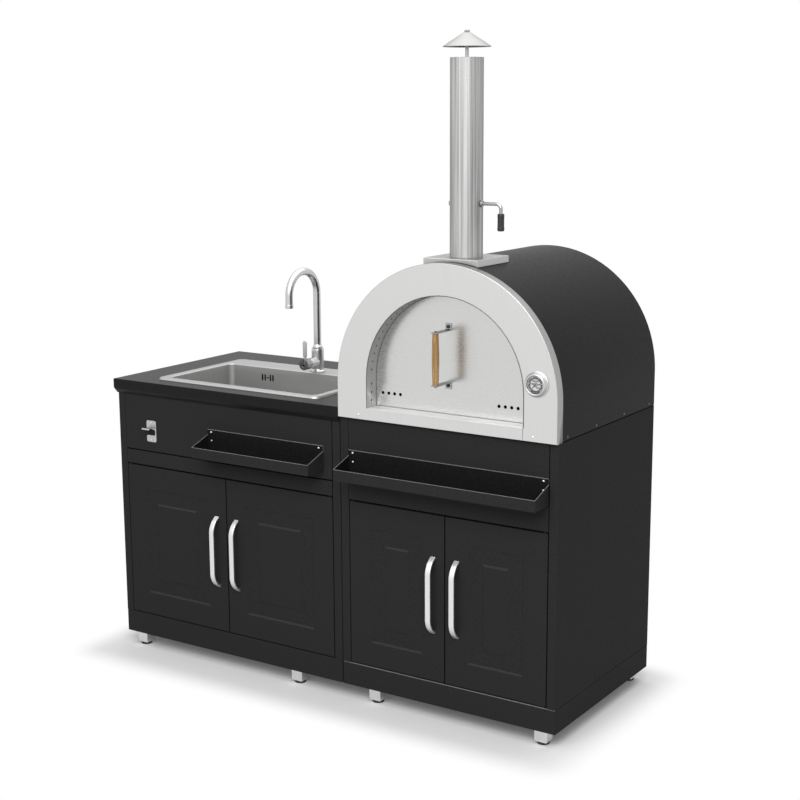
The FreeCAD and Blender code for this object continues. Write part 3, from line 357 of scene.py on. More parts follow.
def round_corners(bm, verts, radius, segments):
    made = bmesh.ops.bevel(bm, geom=verts, offset=radius, offset_type="OFFSET", segments=segments,
                           profile=0.5, affect="VERTICES", material=-1, clamp_overlap=True)
    return made["verts"]


def sharp_edges(bm, degrees=25.0):
    bm.normal_update()
    limit = math.radians(degrees)
    return [e for e in bm.edges if len(e.link_faces) == 2 and e.calc_face_angle(0.0) > limit]


def level_edges(edges, axis, height, within=NEAR):
    """The edges that lie at one height along an axis."""
    return [e for e in edges if all(abs(v.co.dot(axis) - height) < within for v in e.verts)]


def only(geom, kind):
    """The points, lines or patches among what an operator made."""
    return [g for g in geom if isinstance(g, kind)]


def drop_faces(bm, faces):
    bmesh.ops.delete(bm, geom=[f for f in faces if f.is_valid], context="FACES_ONLY")


def push_faces(bm, faces, vec):
    """Extrude faces by a vector; returns the moved ones."""
    geom = bmesh.ops.extrude_face_region(bm, geom=faces)["geom"]
    bmesh.ops.translate(bm, vec=vec, verts=only(geom, POINT))
    return only(geom, PATCH)


def push_edges(bm, edges, vec):
    """Extrude edges by a vector; returns the new edges that lie along the old ones."""
    made = bmesh.ops.extrude_edge_only(bm, edges=edges)["geom"]
    verts = set(only(made, POINT))
    bmesh.ops.translate(bm, vec=vec, verts=list(verts))
    return [e for e in only(made, LINE) if all(v in verts for v in e.verts)]


def line_into(bm, points):
    verts = [bm.verts.new(p) for p in points]
    return verts, [bm.edges.new(pair) for pair in zip(verts, verts[1:])]


def box_into(bm, low, high, radius=0.0, segments=2):
    """Add a block with rounded edges to a bmesh."""
    low, high = Vector(low), Vector(high)
    place = Matrix.Translation((low + high) / 2) @ Matrix.Diagonal((*(high - low), 1))
    verts = bmesh.ops.create_cube(bm, size=1.0, matrix=place)["verts"]
    if radius:
        round_edges(bm, list({e for v in verts for e in v.link_edges}), radius, segments)


def disc(radius, low, high):
    """Profile of a turned disc or rod."""
    return [(0, low), (radius, low), (radius, high), (0, high)]


def ring(near, far, low, high):
    """Profile of a turned ring."""
    return [(near, low), (far, low), (far, high), (near, high), (near, low)]


def turned_into(bm, profile, centre, axis, steps):
    """Add a body of revolution to a bmesh: the profile holds (radius, height along the axis)."""
    axis, centre = Vector(axis), Vector(centre)
    side = axis.orthogonal().normalized()
    verts, edges = line_into(bm, [centre + side * r + axis * h for r, h in profile])
    bmesh.ops.spin(bm, geom=verts + edges, cent=centre, axis=axis, angle=2 * math.pi, steps=steps,
                   use_merge=True)


def rounded_profile(profile, radius):
    """Round the inner corners of a turned profile."""
    bm = bmesh.new()
    verts, _ = line_into(bm, [(r, 0, h) for r, h in profile])
    round_corners(bm, verts[1:-1], radius, 3)
    ends = [v for v in bm.verts if len(v.link_edges) == 1]
    start = min(ends, key=lambda v: (v.co - Vector((profile[0][0], 0, profile[0][1]))).length)
    line, seen = [start], {start}
    while True:
        ahead = [e.other_vert(line[-1]) for e in line[-1].link_edges if e.other_vert(line[-1]) not in seen]
        if not ahead:
            break
        line.append(ahead[0])
        seen.add(ahead[0])
    points = [(v.co.x, v.co.z) for v in line]
    bm.free()
    return points


def turned(profile, places, steps):
    """A bmesh with a body of revolution at each place, which is a centre and an axis."""
    bm = bmesh.new()
    for centre, axis in places:
        turned_into(bm, profile, centre, axis, steps)
    outward(bm)
    return bm


def turned_piece(node, name, profile, centre, axis, finish, steps=64, soften=0.0008):
    """A turned piece that stands for a CAD node."""
    if soften:
        profile = rounded_profile(profile, soften)
    return dress(node, name, turned(profile, [(centre, axis)], steps), finish)


def rod_into(bm, radius, start, moves, steps):
    """Add a bent rod: moves are ("run", vector) or ("bend", centre, axis, angle), and the first is a run."""
    first = moves[0]
    turn = Z.rotation_difference(first[1].normalized()).to_matrix().to_4x4()
    made = bmesh.ops.create_circle(bm, cap_ends=True, radius=radius, segments=steps,
                                   matrix=Matrix.Translation(Vector(start)) @ turn)
    end = made["verts"][0].link_faces[0]
    for move in moves:
        last = end
        if move[0] == "run":
            end = push_faces(bm, [last], move[1])[0]
        else:
            centre, axis, angle = move[1:]
            bends = max(4, int(abs(angle) / math.radians(6)))
            made = bmesh.ops.spin(bm, geom=[last], cent=centre, axis=axis, angle=angle, steps=bends)
            end = only(made["geom_last"], PATCH)[0]
        if move is not first:
            drop_faces(bm, [last])


def folded(line, run, facing, fold=FOLD, segments=3):
    """Outer skin of a folded sheet: a line of points run out along a vector, with rounded folds."""
    bm = bmesh.new()
    verts, edges = line_into(bm, line)
    push_edges(bm, edges, run)
    folds = [e for v in verts[1:-1] for e in v.link_edges
             if abs((e.verts[0].co - e.verts[1].co).dot(run)) > 1e-9]
    round_edges(bm, folds, fold, segments)
    turn_to(bm, facing)
    return bm


def make_solid(bm, wall):
    """Turn an open skin into a closed bar or strip."""
    bmesh.ops.solidify(bm, geom=bm.faces[:], thickness=wall)
    outward(bm)


def open_pan(node, opening, radius, segments=3):
    """Skin of a sheet box without the side that faces the opening, its edges rounded."""
    bm = bmesh.new()
    box_into(bm, *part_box(node))
    drop_faces(bm, [f for f in bm.faces if f.normal.dot(opening) > 0.9])
    round_edges(bm, [e for e in bm.edges if len(e.link_faces) == 2], radius, segments)
    turn_to(bm, -opening)
    return bm


def softened_copy(name, node, radius, finish, segments=2, degrees=40.0, width=0.0024):
    """A copy of a CAD node with its main edges rounded; edges of faces thinner than width stay sharp."""
    bm = bmesh.new()
    bm.from_mesh(frame["nodes"][node].data)
    bmesh.ops.remove_doubles(bm, verts=bm.verts, dist=WELD)
    bmesh.ops.dissolve_limit(bm, angle_limit=math.radians(0.6), verts=bm.verts, edges=bm.edges)

    def broad(face):
        return face.calc_area() > width * max(e.calc_length() for e in face.edges)

    edges = [e for e in sharp_edges(bm, degrees) if all(broad(f) for f in e.link_faces)]
    round_edges(bm, edges, radius, segments)
    bmesh.ops.dissolve_degenerate(bm, dist=WELD, edges=bm.edges)
    dress(node, name, bm, finish, weld=False)


def cut_through(piece, cutters):
    """Cut a bmesh of closed shapes out of a finished piece."""
    name = piece.name + "_cut"
    tool = in_scene(name, mesh_of(name, cutters))
    cut = piece.modifiers.new("cut", "BOOLEAN")
    cut.object, cut.operation, cut.solver = tool, "DIFFERENCE", "EXACT"
    move_up(piece, "cut", piece.modifiers.find("even_shading"))
    result = finished_mesh(piece)
    piece.modifiers.clear()
    spare = piece.data, tool.data
    piece.data = result
    bpy.data.objects.remove(tool)
    for mesh in spare:
        bpy.data.meshes.remove(mesh)
    clean = bmesh.new()
    clean.from_mesh(result)
    bmesh.ops.dissolve_degenerate(clean, dist=WELD, edges=clean.edges)
    clean.to_mesh(result)
    clean.free()
    even_shading(piece)


def screws_at(places, r, h):
    """Pan heads of radius r and height h with a recess; each axis points out of the surface."""
    profile = [(0, h * 0.35), (r * 0.34, h * 0.35), (r * 0.34, h), (r * 0.62, h * 0.96), (r * 0.9, h * 0.62),
               (r, 0.0), (0, 0.0)]
    return turned(profile, places, 20)


def loose_solids(node, reach, across):
    """Boxes of a node's loose solids: points closer than reach, seen along an axis, are of one solid."""
    groups = []
    for v in frame["nodes"][node].data.vertices:
        spot = v.co - across * v.co.dot(across)
        group = next((g for g in groups if (g[0] - spot).length < reach), None)
        if group is None:
            group = (spot, [])
            groups.append(group)
        group[1].append(v.co.copy())
    return [(Vector(map(min, zip(*points))), Vector(map(max, zip(*points)))) for _, points in groups]


# Carcass

def shadow_blocks(name, radius, *blocks):
    """Black blocks of painted shadow behind the gaps between panels and behind slots."""
    bm = bmesh.new()
    for low, high in blocks:
        box_into(bm, low, high, radius)
    add_piece(name, bm, "kitchen", "black_coat", SHADOW_BLACK)


def base_shell(node, edge):
    """Cabinet floor with its skirt folded down all round; edge is the finish of the front fold's upper faces, a
    painted highlight on the oven's base.
    """
    low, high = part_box(node)
    pan = dress(node, node + "_pan", open_pan(node, -Z, PAN_ROUND, 4), BLACK)
    # Painted highlight where the front fold faces up, on the oven's base; the sink's stays black.
    pick_out(pan, edge, lambda f: f.normal.z > 0.3 and f.normal.y < -0.3)
    thicken(pan)
    bottom, top, deep = high.z - PAN_ROUND, high.z + SHEET, 2 * PAN_ROUND
    near, far = low.y + PAN_ROUND, high.y - SHEET / 2
    left, right = low.x + SHEET / 2, high.x - SHEET / 2
    # Painted shadow: black blocks in the seams at the pan's top edges.
    shadow_blocks(node + "_seam", SEAM_ROUND,
                ((left, near, bottom), (left + deep, far, top)),
                ((right - deep, near, bottom), (right, far, top)),
                ((left + deep, far - deep, bottom), (right - deep, far, top)))


def side_shells(node):
    """Both folded side panels of a unit, with the front posts beside the doors."""
    low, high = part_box(node)
    bm = bmesh.new()
    for edge, inward in ((low.x, 1), (high.x, -1)):
        rear, post = edge + inward * REAR_FOLD, edge + inward * POST_WIDTH
        line = [(rear, high.y), (edge, high.y), (edge, low.y), (post, low.y), (post, low.y + POST_RETURN)]
        join_into(bm, folded([(x, y, low.z) for x, y in line], Z * (high.z - low.z), -inward * X))
    thicken(dress(node, node + "_folded", bm, BLACK))


def front_shell(node):
    """Front panel with its top and bottom edges folded back, and black painted shadow in the seams round it."""
    low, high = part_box(node)
    left, right, bottom, top = low.x + SEAM, high.x - SEAM, low.z + SEAM, high.z - SEAM
    line = [(high.y, top), (low.y, top), (low.y, bottom), (high.y, bottom)]
    sheet = folded([(left, y, z) for y, z in line], X * (right - left), -Y)
    shadow_blocks(node + "_seam", SEAM_ROUND, ((low.x - SEAM, low.y + 0.003, low.z - SEAM),
                                             (high.x + SEAM, low.y + 0.004, high.z + SEAM)))
    thicken(dress(node, node + "_folded", sheet, BLACK))


def flat_sheet(node):
    """Plain sheet with broken edges."""
    bm = bmesh.new()
    box_into(bm, *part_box(node), 0.0004)
    dress(node, node + "_sheet", bm, BLACK)


def cabinet_door(node):
    """Door pan with a pressed frame line and its two pivot blocks."""
    low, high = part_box(node)
    bm = open_pan(node, Y, FOLD)
    front = [max((f for f in bm.faces if f.normal.y < -0.9), key=lambda f: f.calc_area())]
    slope = PRESS_DEPTH * 1.6
    pressed = []
    for thickness, sink in ((FRAME_INSET - FOLD, 0), (slope, -PRESS_DEPTH), (FRAME_WIDTH - 2 * slope, 0),
                            (slope, PRESS_DEPTH)):
        bmesh.ops.inset_region(bm, faces=front, thickness=thickness, depth=sink, use_even_offset=True)
        pressed += [e for f in front for e in f.edges]
    round_edges(bm, [e for e in pressed if e.is_valid], PRESS_DEPTH * 0.7)
    piece = dress(node, node + "_pan", bm, BLACK)
    # Painted shade: the pan's edges that face into the gaps get the darker coat.
    pick_out(piece, PAINTED_SHADE, lambda f: abs(f.normal.y) < 0.35)
    half = FRAME_INSET / 2
    # Painted light: the frame's up-facing slopes get the lighter coat.
    pick_out(piece, PAINTED_LIT_SLOPES, lambda f: 0.25 < f.normal.z < 0.8 and low.x + half < f.center.x < high.x - half
             and low.z + half < f.center.z < high.z - half)
    thicken(piece)
    hinge_x = joint[node + "_hinge"]["pos_m"][0]
    blocks = bmesh.new()
    for bottom in (low.z, high.z - PIVOT_BLOCK):
        box_into(blocks, (hinge_x - 0.0085, low.y + 0.001, bottom + 0.0008),
                 (hinge_x + 0.0085, low.y + 0.011, bottom + PIVOT_BLOCK - 0.0008), 0.0008)
    add_piece(node + "_pivot_blocks", blocks, body_of[node], slot_of[node], BLACK)


def tray_trough(node):
    """Front tray: floor, low lip, sloping cheeks and a tall back, with hems along its free edges."""
    low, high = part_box(node)
    lip_z, cheek_z = low.z + TRAY_LIP, low.z + TRAY_CHEEK
    outline = [(high.y, low.z), (low.y, low.z), (low.y, lip_z), (high.y, cheek_z)]
    bm = bmesh.new()
    side = bm.faces.new([bm.verts.new((low.x, y, z)) for y, z in outline])
    push_faces(bm, [side], X * (high.x - low.x))
    bmesh.ops.recalc_face_normals(bm, faces=bm.faces)
    bm.normal_update()
    drop_faces(bm, [f for f in bm.faces if f.normal.z > 0.3])
    rear = level_edges([e for e in bm.edges if e.is_boundary], Y, high.y)
    push_edges(bm, rear, Z * (high.z - cheek_z))
    round_edges(bm, sharp_edges(bm), FOLD)
    turn_to(bm, -Z)
    trough = thicken(dress(node, node + "_trough", bm, BLACK))
    # Painted shade on the tray's inside, and painted highlight on the cut rims of its sheet.
    trough.data.materials.append(PAINTED_SHADE)
    trough.data.materials.append(HIGHLIGHT_AND_SCREW_GREY)
    trough.modifiers["sheet"].material_offset = 1
    trough.modifiers["sheet"].material_offset_rim = 2
    left, right, front, rear = low.x + HEM, high.x - HEM, low.y + HEM, high.y - HEM
    corners = [Vector(p) for p in ((left, rear, cheek_z), (left, front, lip_z), (right, front, lip_z),
                                   (right, rear, cheek_z))]
    back = [Vector((x, rear, high.z - HEM)) for x in (left, right)]
    hem = bmesh.new()
    for start, end in (*zip(corners, corners[1:]), back):
        rod_into(hem, HEM, start, [("run", end - start)], 10)
    bmesh.ops.recalc_face_normals(hem, faces=hem.faces)
    # The hems are real; their light grey coat is painted highlight.
    add_piece(node + "_hem", hem, body_of[node], slot_of[node], HIGHLIGHT_AND_SCREW_GREY, weld=False)


def bow_handle(node):
    """Flat bar bent back to the door at both ends, with soft long edges, cut off flush with the door."""
    low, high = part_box(node)
    behind = high.y + (high.y - low.y) / 4
    line = [(behind, low.z - BOW_SLOPE / 4), (low.y, low.z + BOW_SLOPE), (low.y, high.z - BOW_SLOPE),
            (behind, high.z + BOW_SLOPE / 4)]
    bm = folded([(low.x, y, z) for y, z in line], X * (high.x - low.x), -Y, BOW_BEND, 14)
    make_solid(bm, BOW_BAR)
    cut = bmesh.ops.bisect_plane(bm, geom=bm.verts[:] + bm.edges[:] + bm.faces[:], plane_co=(0, high.y, 0),
                                 plane_no=Y, clear_outer=True)["geom_cut"]
    bmesh.ops.holes_fill(bm, edges=only(cut, LINE), sides=0)
    outward(bm)
    long = [e for e in sharp_edges(bm, 60) if any(v.co.y < high.y - 1e-5 for v in e.verts)]
    round_edges(bm, long, 0.0026, 4)
    dress(node, node + "_bow", bm, SATIN)


def wall_opener():
    """Bottle opener: two screw lobes joined by a waist, with a wide lip pressed out over the cork."""
    low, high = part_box("bottle_opener")
    face = high.y - 0.003
    middle, waist = (low.z + high.z) / 2, high.x - 0.004
    outline = [(low.x, low.z), (high.x, low.z), (high.x, high.z), (low.x, high.z), (low.x, middle + 0.006),
               (waist, middle + 0.006), (waist, middle - 0.013), (low.x, middle - 0.013)]
    bm = bmesh.new()
    verts = [bm.verts.new((x, high.y, z)) for x, z in outline]
    bm.faces.new(verts)
    round_corners(bm, verts, 0.006, 5)
    push_faces(bm, bm.faces[:], Y * (face - high.y))
    outward(bm)
    round_edges(bm, level_edges(sharp_edges(bm, 50), Y, face), 0.0009)
    line = [(face + 0.001, middle + 0.01), (low.y - 0.004, middle + 0.014), (low.y - 0.006, middle + 0.009)]
    lip = folded([(low.x + 0.001, y, z) for y, z in line], X * (high.x - low.x - 0.008), Z, 0.002)
    make_solid(lip, 0.0018)
    round_edges(lip, sharp_edges(lip, 60), 0.0007, 2)
    join_into(bm, lip)
    dress("bottle_opener", "opener_plate", bm, PLATE)


def legs():
    """Square tube legs on round pads, at the places of the pads' loose solids."""
    low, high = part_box("feet")
    spots = [(pad_low + pad_high) / 2 for pad_low, pad_high in loose_solids("foot_pads", 0.06, Z)]
    tubes = bmesh.new()
    for x, y, _ in spots:
        box_into(tubes, (x - LEG_HALF, y - LEG_HALF, low.z), (x + LEG_HALF, y + LEG_HALF, high.z), 0.0025, 3)
    dress("feet", "leg_tubes", tubes, FOOT)
    profile = rounded_profile(disc(PAD_RADIUS, 0, PAD_HEIGHT), 0.0018)
    dress("foot_pads", "leg_pads", turned(profile, [((x, y, 0), Z) for x, y, _ in spots], 36), RUBBER)


# Worktop, sink and tap

def rounded_loop(bm, x0, x1, y0, y1, z, corner):
    """Rounded rectangle; returns its face."""
    verts = [bm.verts.new((x, y, z)) for x, y in ((x0, y0), (x1, y0), (x1, y1), (x0, y1))]
    bm.faces.new(verts)
    made = round_corners(bm, verts, corner, 7)
    return max((f for v in made for f in v.link_faces), key=lambda f: len(f.verts))


def open_loop(bm, face):
    edges = list(face.edges)
    drop_faces(bm, [face])
    return edges


def widened(x0, x1, y0, y1, by):
    return x0 - by, x1 + by, y0 - by, y1 + by


def worktop_press(cutout):
    """Pressed top: rounded nose, lips turned in under the edge, opening for the bowl."""
    low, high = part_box("worktop")
    base_low, base_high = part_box("sink_base")
    lip_z, lap = high.z - 0.03, 0.002
    corners = [(low.x, low.y), (high.x, low.y), (high.x, high.y), (low.x, high.y)]
    bm = bmesh.new()
    verts = [bm.verts.new((x, y, high.z)) for x, y in corners]
    rim = [bm.edges.new(pair) for pair in zip(verts, verts[1:] + verts[:1])]
    hole = open_loop(bm, rounded_loop(bm, *cutout, high.z, BOWL_CORNER))
    bmesh.ops.bridge_loops(bm, edges=rim + hole)
    oven_side = level_edges(rim, X, high.x)
    lips = push_edges(bm, [e for e in rim if e not in oven_side], Z * (lip_z - high.z))
    inner = push_edges(bm, lips, Z * (low.z - lip_z))
    for v in {v for e in inner for v in e.verts}:
        v.co.x = max(v.co.x, base_low.x - lap)
        v.co.y = min(max(v.co.y, base_low.y - lap), base_high.y + lap)
    round_edges(bm, level_edges(sharp_edges(bm), Z, high.z), 0.003, 4)
    turn_to(bm, Z)
    round_edges(bm, level_edges(sharp_edges(bm, 20), Z, lip_z, 1e-4), 0.003)
    thicken(dress("worktop", "worktop_press", bm, TOP))


def sink_basin(bowl, drain):
    """Pressed sink: raised rim, rolled edge, rounded bowl, hole for the waste and overflow slots."""
    low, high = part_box("sink_bowl")
    outer = (low.x, high.x, low.y, high.y)
    x0, x1, _, y1 = bowl
    floor_z = drain[2]
    bm = bmesh.new()
    foot = open_loop(bm, rounded_loop(bm, *outer, high.z - 0.005, 0.022))
    crest = open_loop(bm, rounded_loop(bm, *widened(*outer, -0.003), high.z, 0.019))
    mouth = rounded_loop(bm, *bowl, high.z, BOWL_CORNER)
    mouth_edges = list(mouth.edges)
    floor = push_faces(bm, [mouth], Z * (floor_z - high.z))[0]
    drop_faces(bm, [mouth])
    bmesh.ops.bridge_loops(bm, edges=foot + crest)
    bmesh.ops.bridge_loops(bm, edges=crest + mouth_edges)
    round_edges(bm, list(floor.edges), BOWL_FOOT, 6)
    bm.normal_update()
    level = [f for f in bm.faces if abs(f.normal.z) > 0.99 and f.calc_center_median().z < floor_z + 0.001]
    floor = max(level, key=lambda f: f.calc_area())
    bmesh.ops.inset_region(bm, faces=[floor], thickness=0.008, use_even_offset=True)
    edge = open_loop(bm, floor)
    circles = []
    for radius in (WASTE_HOLE + 0.008, WASTE_HOLE):
        verts = bmesh.ops.create_circle(bm, cap_ends=False, radius=radius, segments=40,
                                        matrix=Matrix.Translation(drain))["verts"]
        circles.append(list({e for v in verts for e in v.link_edges}))
    bmesh.ops.bridge_loops(bm, edges=circles[0] + circles[1])
    bmesh.ops.triangle_fill(bm, use_beauty=True, use_dissolve=False, edges=edge + circles[0], normal=Z)
    left, right, front, back = widened(*bowl, 1e-5)
    lip = [e for e in level_edges(sharp_edges(bm, 50), Z, high.z)
           if all(left <= v.co.x <= right and front <= v.co.y <= back for v in e.verts)]
    round_edges(bm, lip, 0.0035, 4)
    turn_to(bm, Z)
    piece = thicken(dress("sink_bowl", "sink_basin", bm, BOWL), BOWL_WALL)
    slots = bmesh.new()
    for shift in (-0.022, -0.011, 0.011, 0.022):
        x = (x0 + x1) / 2 - OVERFLOW_LEFT + shift
        box_into(slots, (x - 0.0032, y1 - 0.003, high.z - 0.046), (x + 0.0032, y1 + 0.004, high.z - 0.024),
                 0.0028, 3)
    cut_through(piece, slots)


def overflow_box(bowl):
    """Black pocket of painted shadow behind the overflow slots, with the small tie between both pairs in the same
    black.
    """
    x, y, top = (bowl[0] + bowl[1]) / 2 - OVERFLOW_LEFT, bowl[3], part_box("sink_bowl")[1].z
    shadow_blocks("overflow_pocket", 0.002,
                ((x - 0.032, y + 0.002, top - 0.05), (x + 0.032, y + 0.008, top - 0.02)))
    shadow_blocks("overflow_tie", 0.0003,
                ((x - 0.005, y - 0.0006, top - 0.0368), (x + 0.005, y + 0.0002, top - 0.0332)))


def waste_fittings(drain):
    """Flanged waste with its tail, the nut under the bowl, and the lift-out strainer."""
    cup = [(0.041, 0.0005), (0.043, 0.002), (0.053, 0.002), (0.055, 0.0008), (0.055, 0.0), (0.043, 0.0),
           (0.043, -0.052), (0.019, -0.052), (0.019, -0.097), (0.017, -0.097), (0.017, -0.05), (0.038, -0.05),
           (0.038, -0.003), (0.041, -0.003), (0.041, 0.0005)]
    turned_piece("drain_cup", "waste_cup", cup, drain, Z, BOWL, soften=0.0003)
    turned_piece("drain_nut", "waste_nut", ring(0.0432, 0.056, -0.0012, -0.0132), drain, Z, PLATE, 24, 0.001)
    low = -0.0327
    basket = [(0, low), (0.0374, low), (0.0374, -0.0027), (0.0404, -0.0027), (0.0404, -0.0017),
              (0.0364, -0.0017), (0.0364, low + 0.001), (0.003, low + 0.001), (0.003, 0.0013),
              (0.007, 0.0013), (0.007, 0.0083), (0, 0.0083)]
    strainer = turned_piece("strainer_basket", "strainer", basket, drain, Z, SATIN, soften=0.0004)
    angles = [2 * math.pi * n / 8 for n in range(8)]
    places = [(Vector(drain) + Vector((math.cos(a), math.sin(a), 0)) * 0.022, Z) for a in angles]
    cut_through(strainer, turned(disc(0.003, low - 0.002, low + 0.003), places, 16))


def mixer_tap():
    """Single-lever mixer: column with a cartridge barrel, swan neck, aerator, cap and lever."""
    x, y = joint["tap_spout_swivel"]["pos_m"][:2]
    rim_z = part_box("sink_bowl")[1].z
    column = [(0, -0.0505), (0.0105, -0.0505), (0.0105, -0.0145), (0.014, -0.0145), (0.014, 0), (0.025, 0),
              (0.025, 0.003), (0.0215, 0.0055), (0.02, 0.009), (0.02, 0.07), (0.019, 0.0775), (0.0135, 0.078),
              (0.0135, 0.06), (0, 0.06)]
    length = y - joint["tap_temperature_turn"]["pos_m"][1]
    barrel = [(0, 0.0), (0.017, 0.0), (0.017, length - 0.002), (0.0162, length - 0.0008),
              (0.01, length - 0.0006), (0, length - 0.0006)]
    bm = bmesh.new()
    turned_into(bm, rounded_profile(column, 0.0008), (x, y, rim_z), Z, 56)
    turned_into(bm, barrel, (x, y, joint["tap_flow_tilt"]["pos_m"][2]), -Y, 48)
    outward(bm)
    dress("tap_body", "tap_column", bm, CHROME)
    nut = turned(ring(0.0141, 0.024, 0, 0.008), [((x, y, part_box("tap_nut")[0].z), Z)], 6)
    round_edges(nut, sharp_edges(nut, 70), 0.0008)
    dress("tap_nut", "tap_back_nut", nut, BRASS)

    base, spring, bend, drop = rim_z + 0.0785, rim_z + 0.262, 0.074, 0.025
    collar = [(0, 0.0), (0.016, 0.0), (0.016, 0.004), (0.0145, 0.0065), (0.0128, 0.0095), (0.0122, 0.0118),
              (0, 0.0118)]
    neck = bmesh.new()
    rod_into(neck, 0.012, (x, y, base), [
        ("run", Z * (spring - base)),
        ("bend", (x, y - bend, spring), X, math.pi),
        ("run", Z * -drop),
    ], 32)
    turned_into(neck, rounded_profile(collar, 0.0006), (x, y, base), Z, 48)
    turned_into(neck, disc(0.0128, -0.0215, 0.0), (x, y, base), Z, 32)
    outward(neck)
    dress("tap_spout", "tap_neck", neck, CHROME)
    tip = (x, y - 2 * bend, spring - drop)
    nozzle = [(0, -0.004), (0.009, -0.004), (0.009, -0.0114), (0.0112, -0.012), (0.0128, -0.011),
              (0.013, -0.009), (0.013, -0.0012), (0.0124, 0.0), (0, 0.0)]
    turned_piece("tap_aerator", "tap_nozzle", nozzle, tip, Z, CHROME, soften=0)
    grid = turned(disc(0.0092, -0.0045, -0.0035), [(tip, Z)], 32)
    # Painted shade: the aerator's grid is near-black.
    add_piece("tap_nozzle_mesh", grid, "tap_spout", "chrome", SHADOW_BLACK)
    softened_copy("tap_cartridge_cap", "tap_cap", 0.0012, DARK_CHROME, degrees=60.0)
    softened_copy("tap_paddle", "tap_lever", 0.0014, CHROME, segments=3, degrees=50.0)


# Oven

def arch_of(node):
    """Radius and spring height of the half-round arch that fills a node's box."""
    low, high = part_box(node)
    radius = (high.x - low.x) / 2
    return radius, high.z - radius


OVEN_MID = sum(corner.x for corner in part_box("oven_base")) / 2
HOOD_SPRING = arch_of("oven_hood")[1]
MOUTH_RADIUS = arch_of("oven_door")[0] + MOUTH_GAP
MOUTH_SPRING = arch_of("oven_door")[1]
SILL_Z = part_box("oven_door")[0].z - SILL_GAP


def arch_line(bm, spring, radius, bottom, y, steps=56):
    """Closed arch outline: flat foot, upright sides, half-round top; returns its edges, the foot last."""
    foot = bm.verts.new((OVEN_MID - radius, y, bottom))
    start = bm.verts.new((OVEN_MID - radius, y, spring))
    edges = [bm.edges.new((foot, start))]
    before = set(bm.edges)
    made = bmesh.ops.spin(bm, geom=[start], cent=(OVEN_MID, y, spring), axis=Y, angle=math.pi, steps=steps)
    edges += [e for e in bm.edges if e not in before]
    far = bm.verts.new((OVEN_MID + radius, y, bottom))
    edges += [bm.edges.new((only(made["geom_last"], POINT)[0], far)), bm.edges.new((far, foot))]
    return edges


def spoke_at(angle):
    """Direction in the plane of the oven's front, turned up from the right."""
    return Vector((math.cos(angle), 0, math.sin(angle)))


def oven_front():
    """Stainless front with a rounded, folded edge and the arched mouth cut out."""
    low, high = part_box("oven_face")
    bm = bmesh.new()
    rim = arch_line(bm, HOOD_SPRING, arch_of("oven_face")[0] + FRONT_ROLL, low.z, low.y)
    mouth = arch_line(bm, MOUTH_SPRING, MOUTH_RADIUS + SHEET, SILL_Z - SHEET, low.y)
    bmesh.ops.bridge_loops(bm, edges=rim + mouth)
    push_edges(bm, rim, Y * (high.y - low.y))
    round_edges(bm, [e for e in rim if e.is_valid], 0.002, 5)
    turn_to(bm, -Y)
    piece = dress("oven_face", "oven_front", bm, FACE)
    # Painted shade: faces of the rolled edge turned away from the front get the darker steel.
    thicken(pick_out(piece, SHADED_EDGE_STEEL, lambda f: abs(f.normal.y) < 0.9))


def oven_mouth():
    """Arched throat with its sill, the chamber's front wall and the door stop."""
    low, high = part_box("oven_throat")
    front, back = low.y + 0.0004, high.y - SHEET
    chamber, board_top = arch_of("oven_chamber")[0] - SHEET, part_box("oven_chamber")[0].z
    bm = bmesh.new()
    near = arch_line(bm, MOUTH_SPRING, MOUTH_RADIUS, SILL_Z, front)
    far = push_edges(bm, near, Y * (back - front))
    wall = arch_line(bm, HOOD_SPRING, chamber, board_top, back)
    bmesh.ops.bridge_loops(bm, edges=far + wall)
    turn_to(bm, Z)
    thicken(dress("oven_throat", "oven_mouth_liner", bm, JAMB))
    stop_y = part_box("oven_door")[1].y + 0.001
    stop = bmesh.new()
    outer = arch_line(stop, MOUTH_SPRING, MOUTH_RADIUS - 0.0002, SILL_Z + 0.0005, stop_y)
    inner = arch_line(stop, MOUTH_SPRING, MOUTH_RADIUS - 0.012, SILL_Z + 0.0004, stop_y)
    bmesh.ops.bridge_loops(stop, edges=outer + inner)
    turn_to(stop, -Y)
    thicken(add_piece("door_stop", stop, "kitchen", "stainless", PLATE))


def mouth_bead():
    """Thin bead where the front is rolled round the edge of the mouth, in dark steel as painted shadow of the gap
    round the door.
    """
    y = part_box("oven_face")[0].y
    rise = Z * (MOUTH_SPRING - SILL_Z)
    bm = bmesh.new()
    rod_into(bm, 0.0013, (OVEN_MID - MOUTH_RADIUS - SHEET / 2, y, SILL_Z), [
        ("run", rise), ("bend", (OVEN_MID, y, MOUTH_SPRING), Y, math.pi), ("run", -rise)], 10)
    outward(bm)
    add_piece("mouth_bead", bm, "kitchen", "stainless", SHADOW_BEAD)


def mouth_rivets():
    """Row of small rivets at mid-depth up both jambs and round the arch."""
    y = (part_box("oven_throat")[0].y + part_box("oven_door")[0].y) / 2
    pitch, start = 0.024, 0.02
    places = []
    for n in range(int((MOUTH_SPRING - SILL_Z - start) / pitch) + 1):
        z = SILL_Z + start + n * pitch
        places += [(Vector((OVEN_MID - side * MOUTH_RADIUS, y, z)), side * X) for side in (1, -1)]
    arc = int(math.pi * MOUTH_RADIUS / pitch)
    for n in range(1, arc):
        spoke = spoke_at(math.pi * n / arc)
        places.append((Vector((OVEN_MID, y, MOUTH_SPRING)) + spoke * MOUTH_RADIUS, -spoke))
    head = [(0, 0.0011), (0.0016, 0.001), (0.0028, 0.0004), (0.0031, -0.0003)]
    add_piece("mouth_rivets", turned(head, places, 10), "kitchen", "stainless", INK)


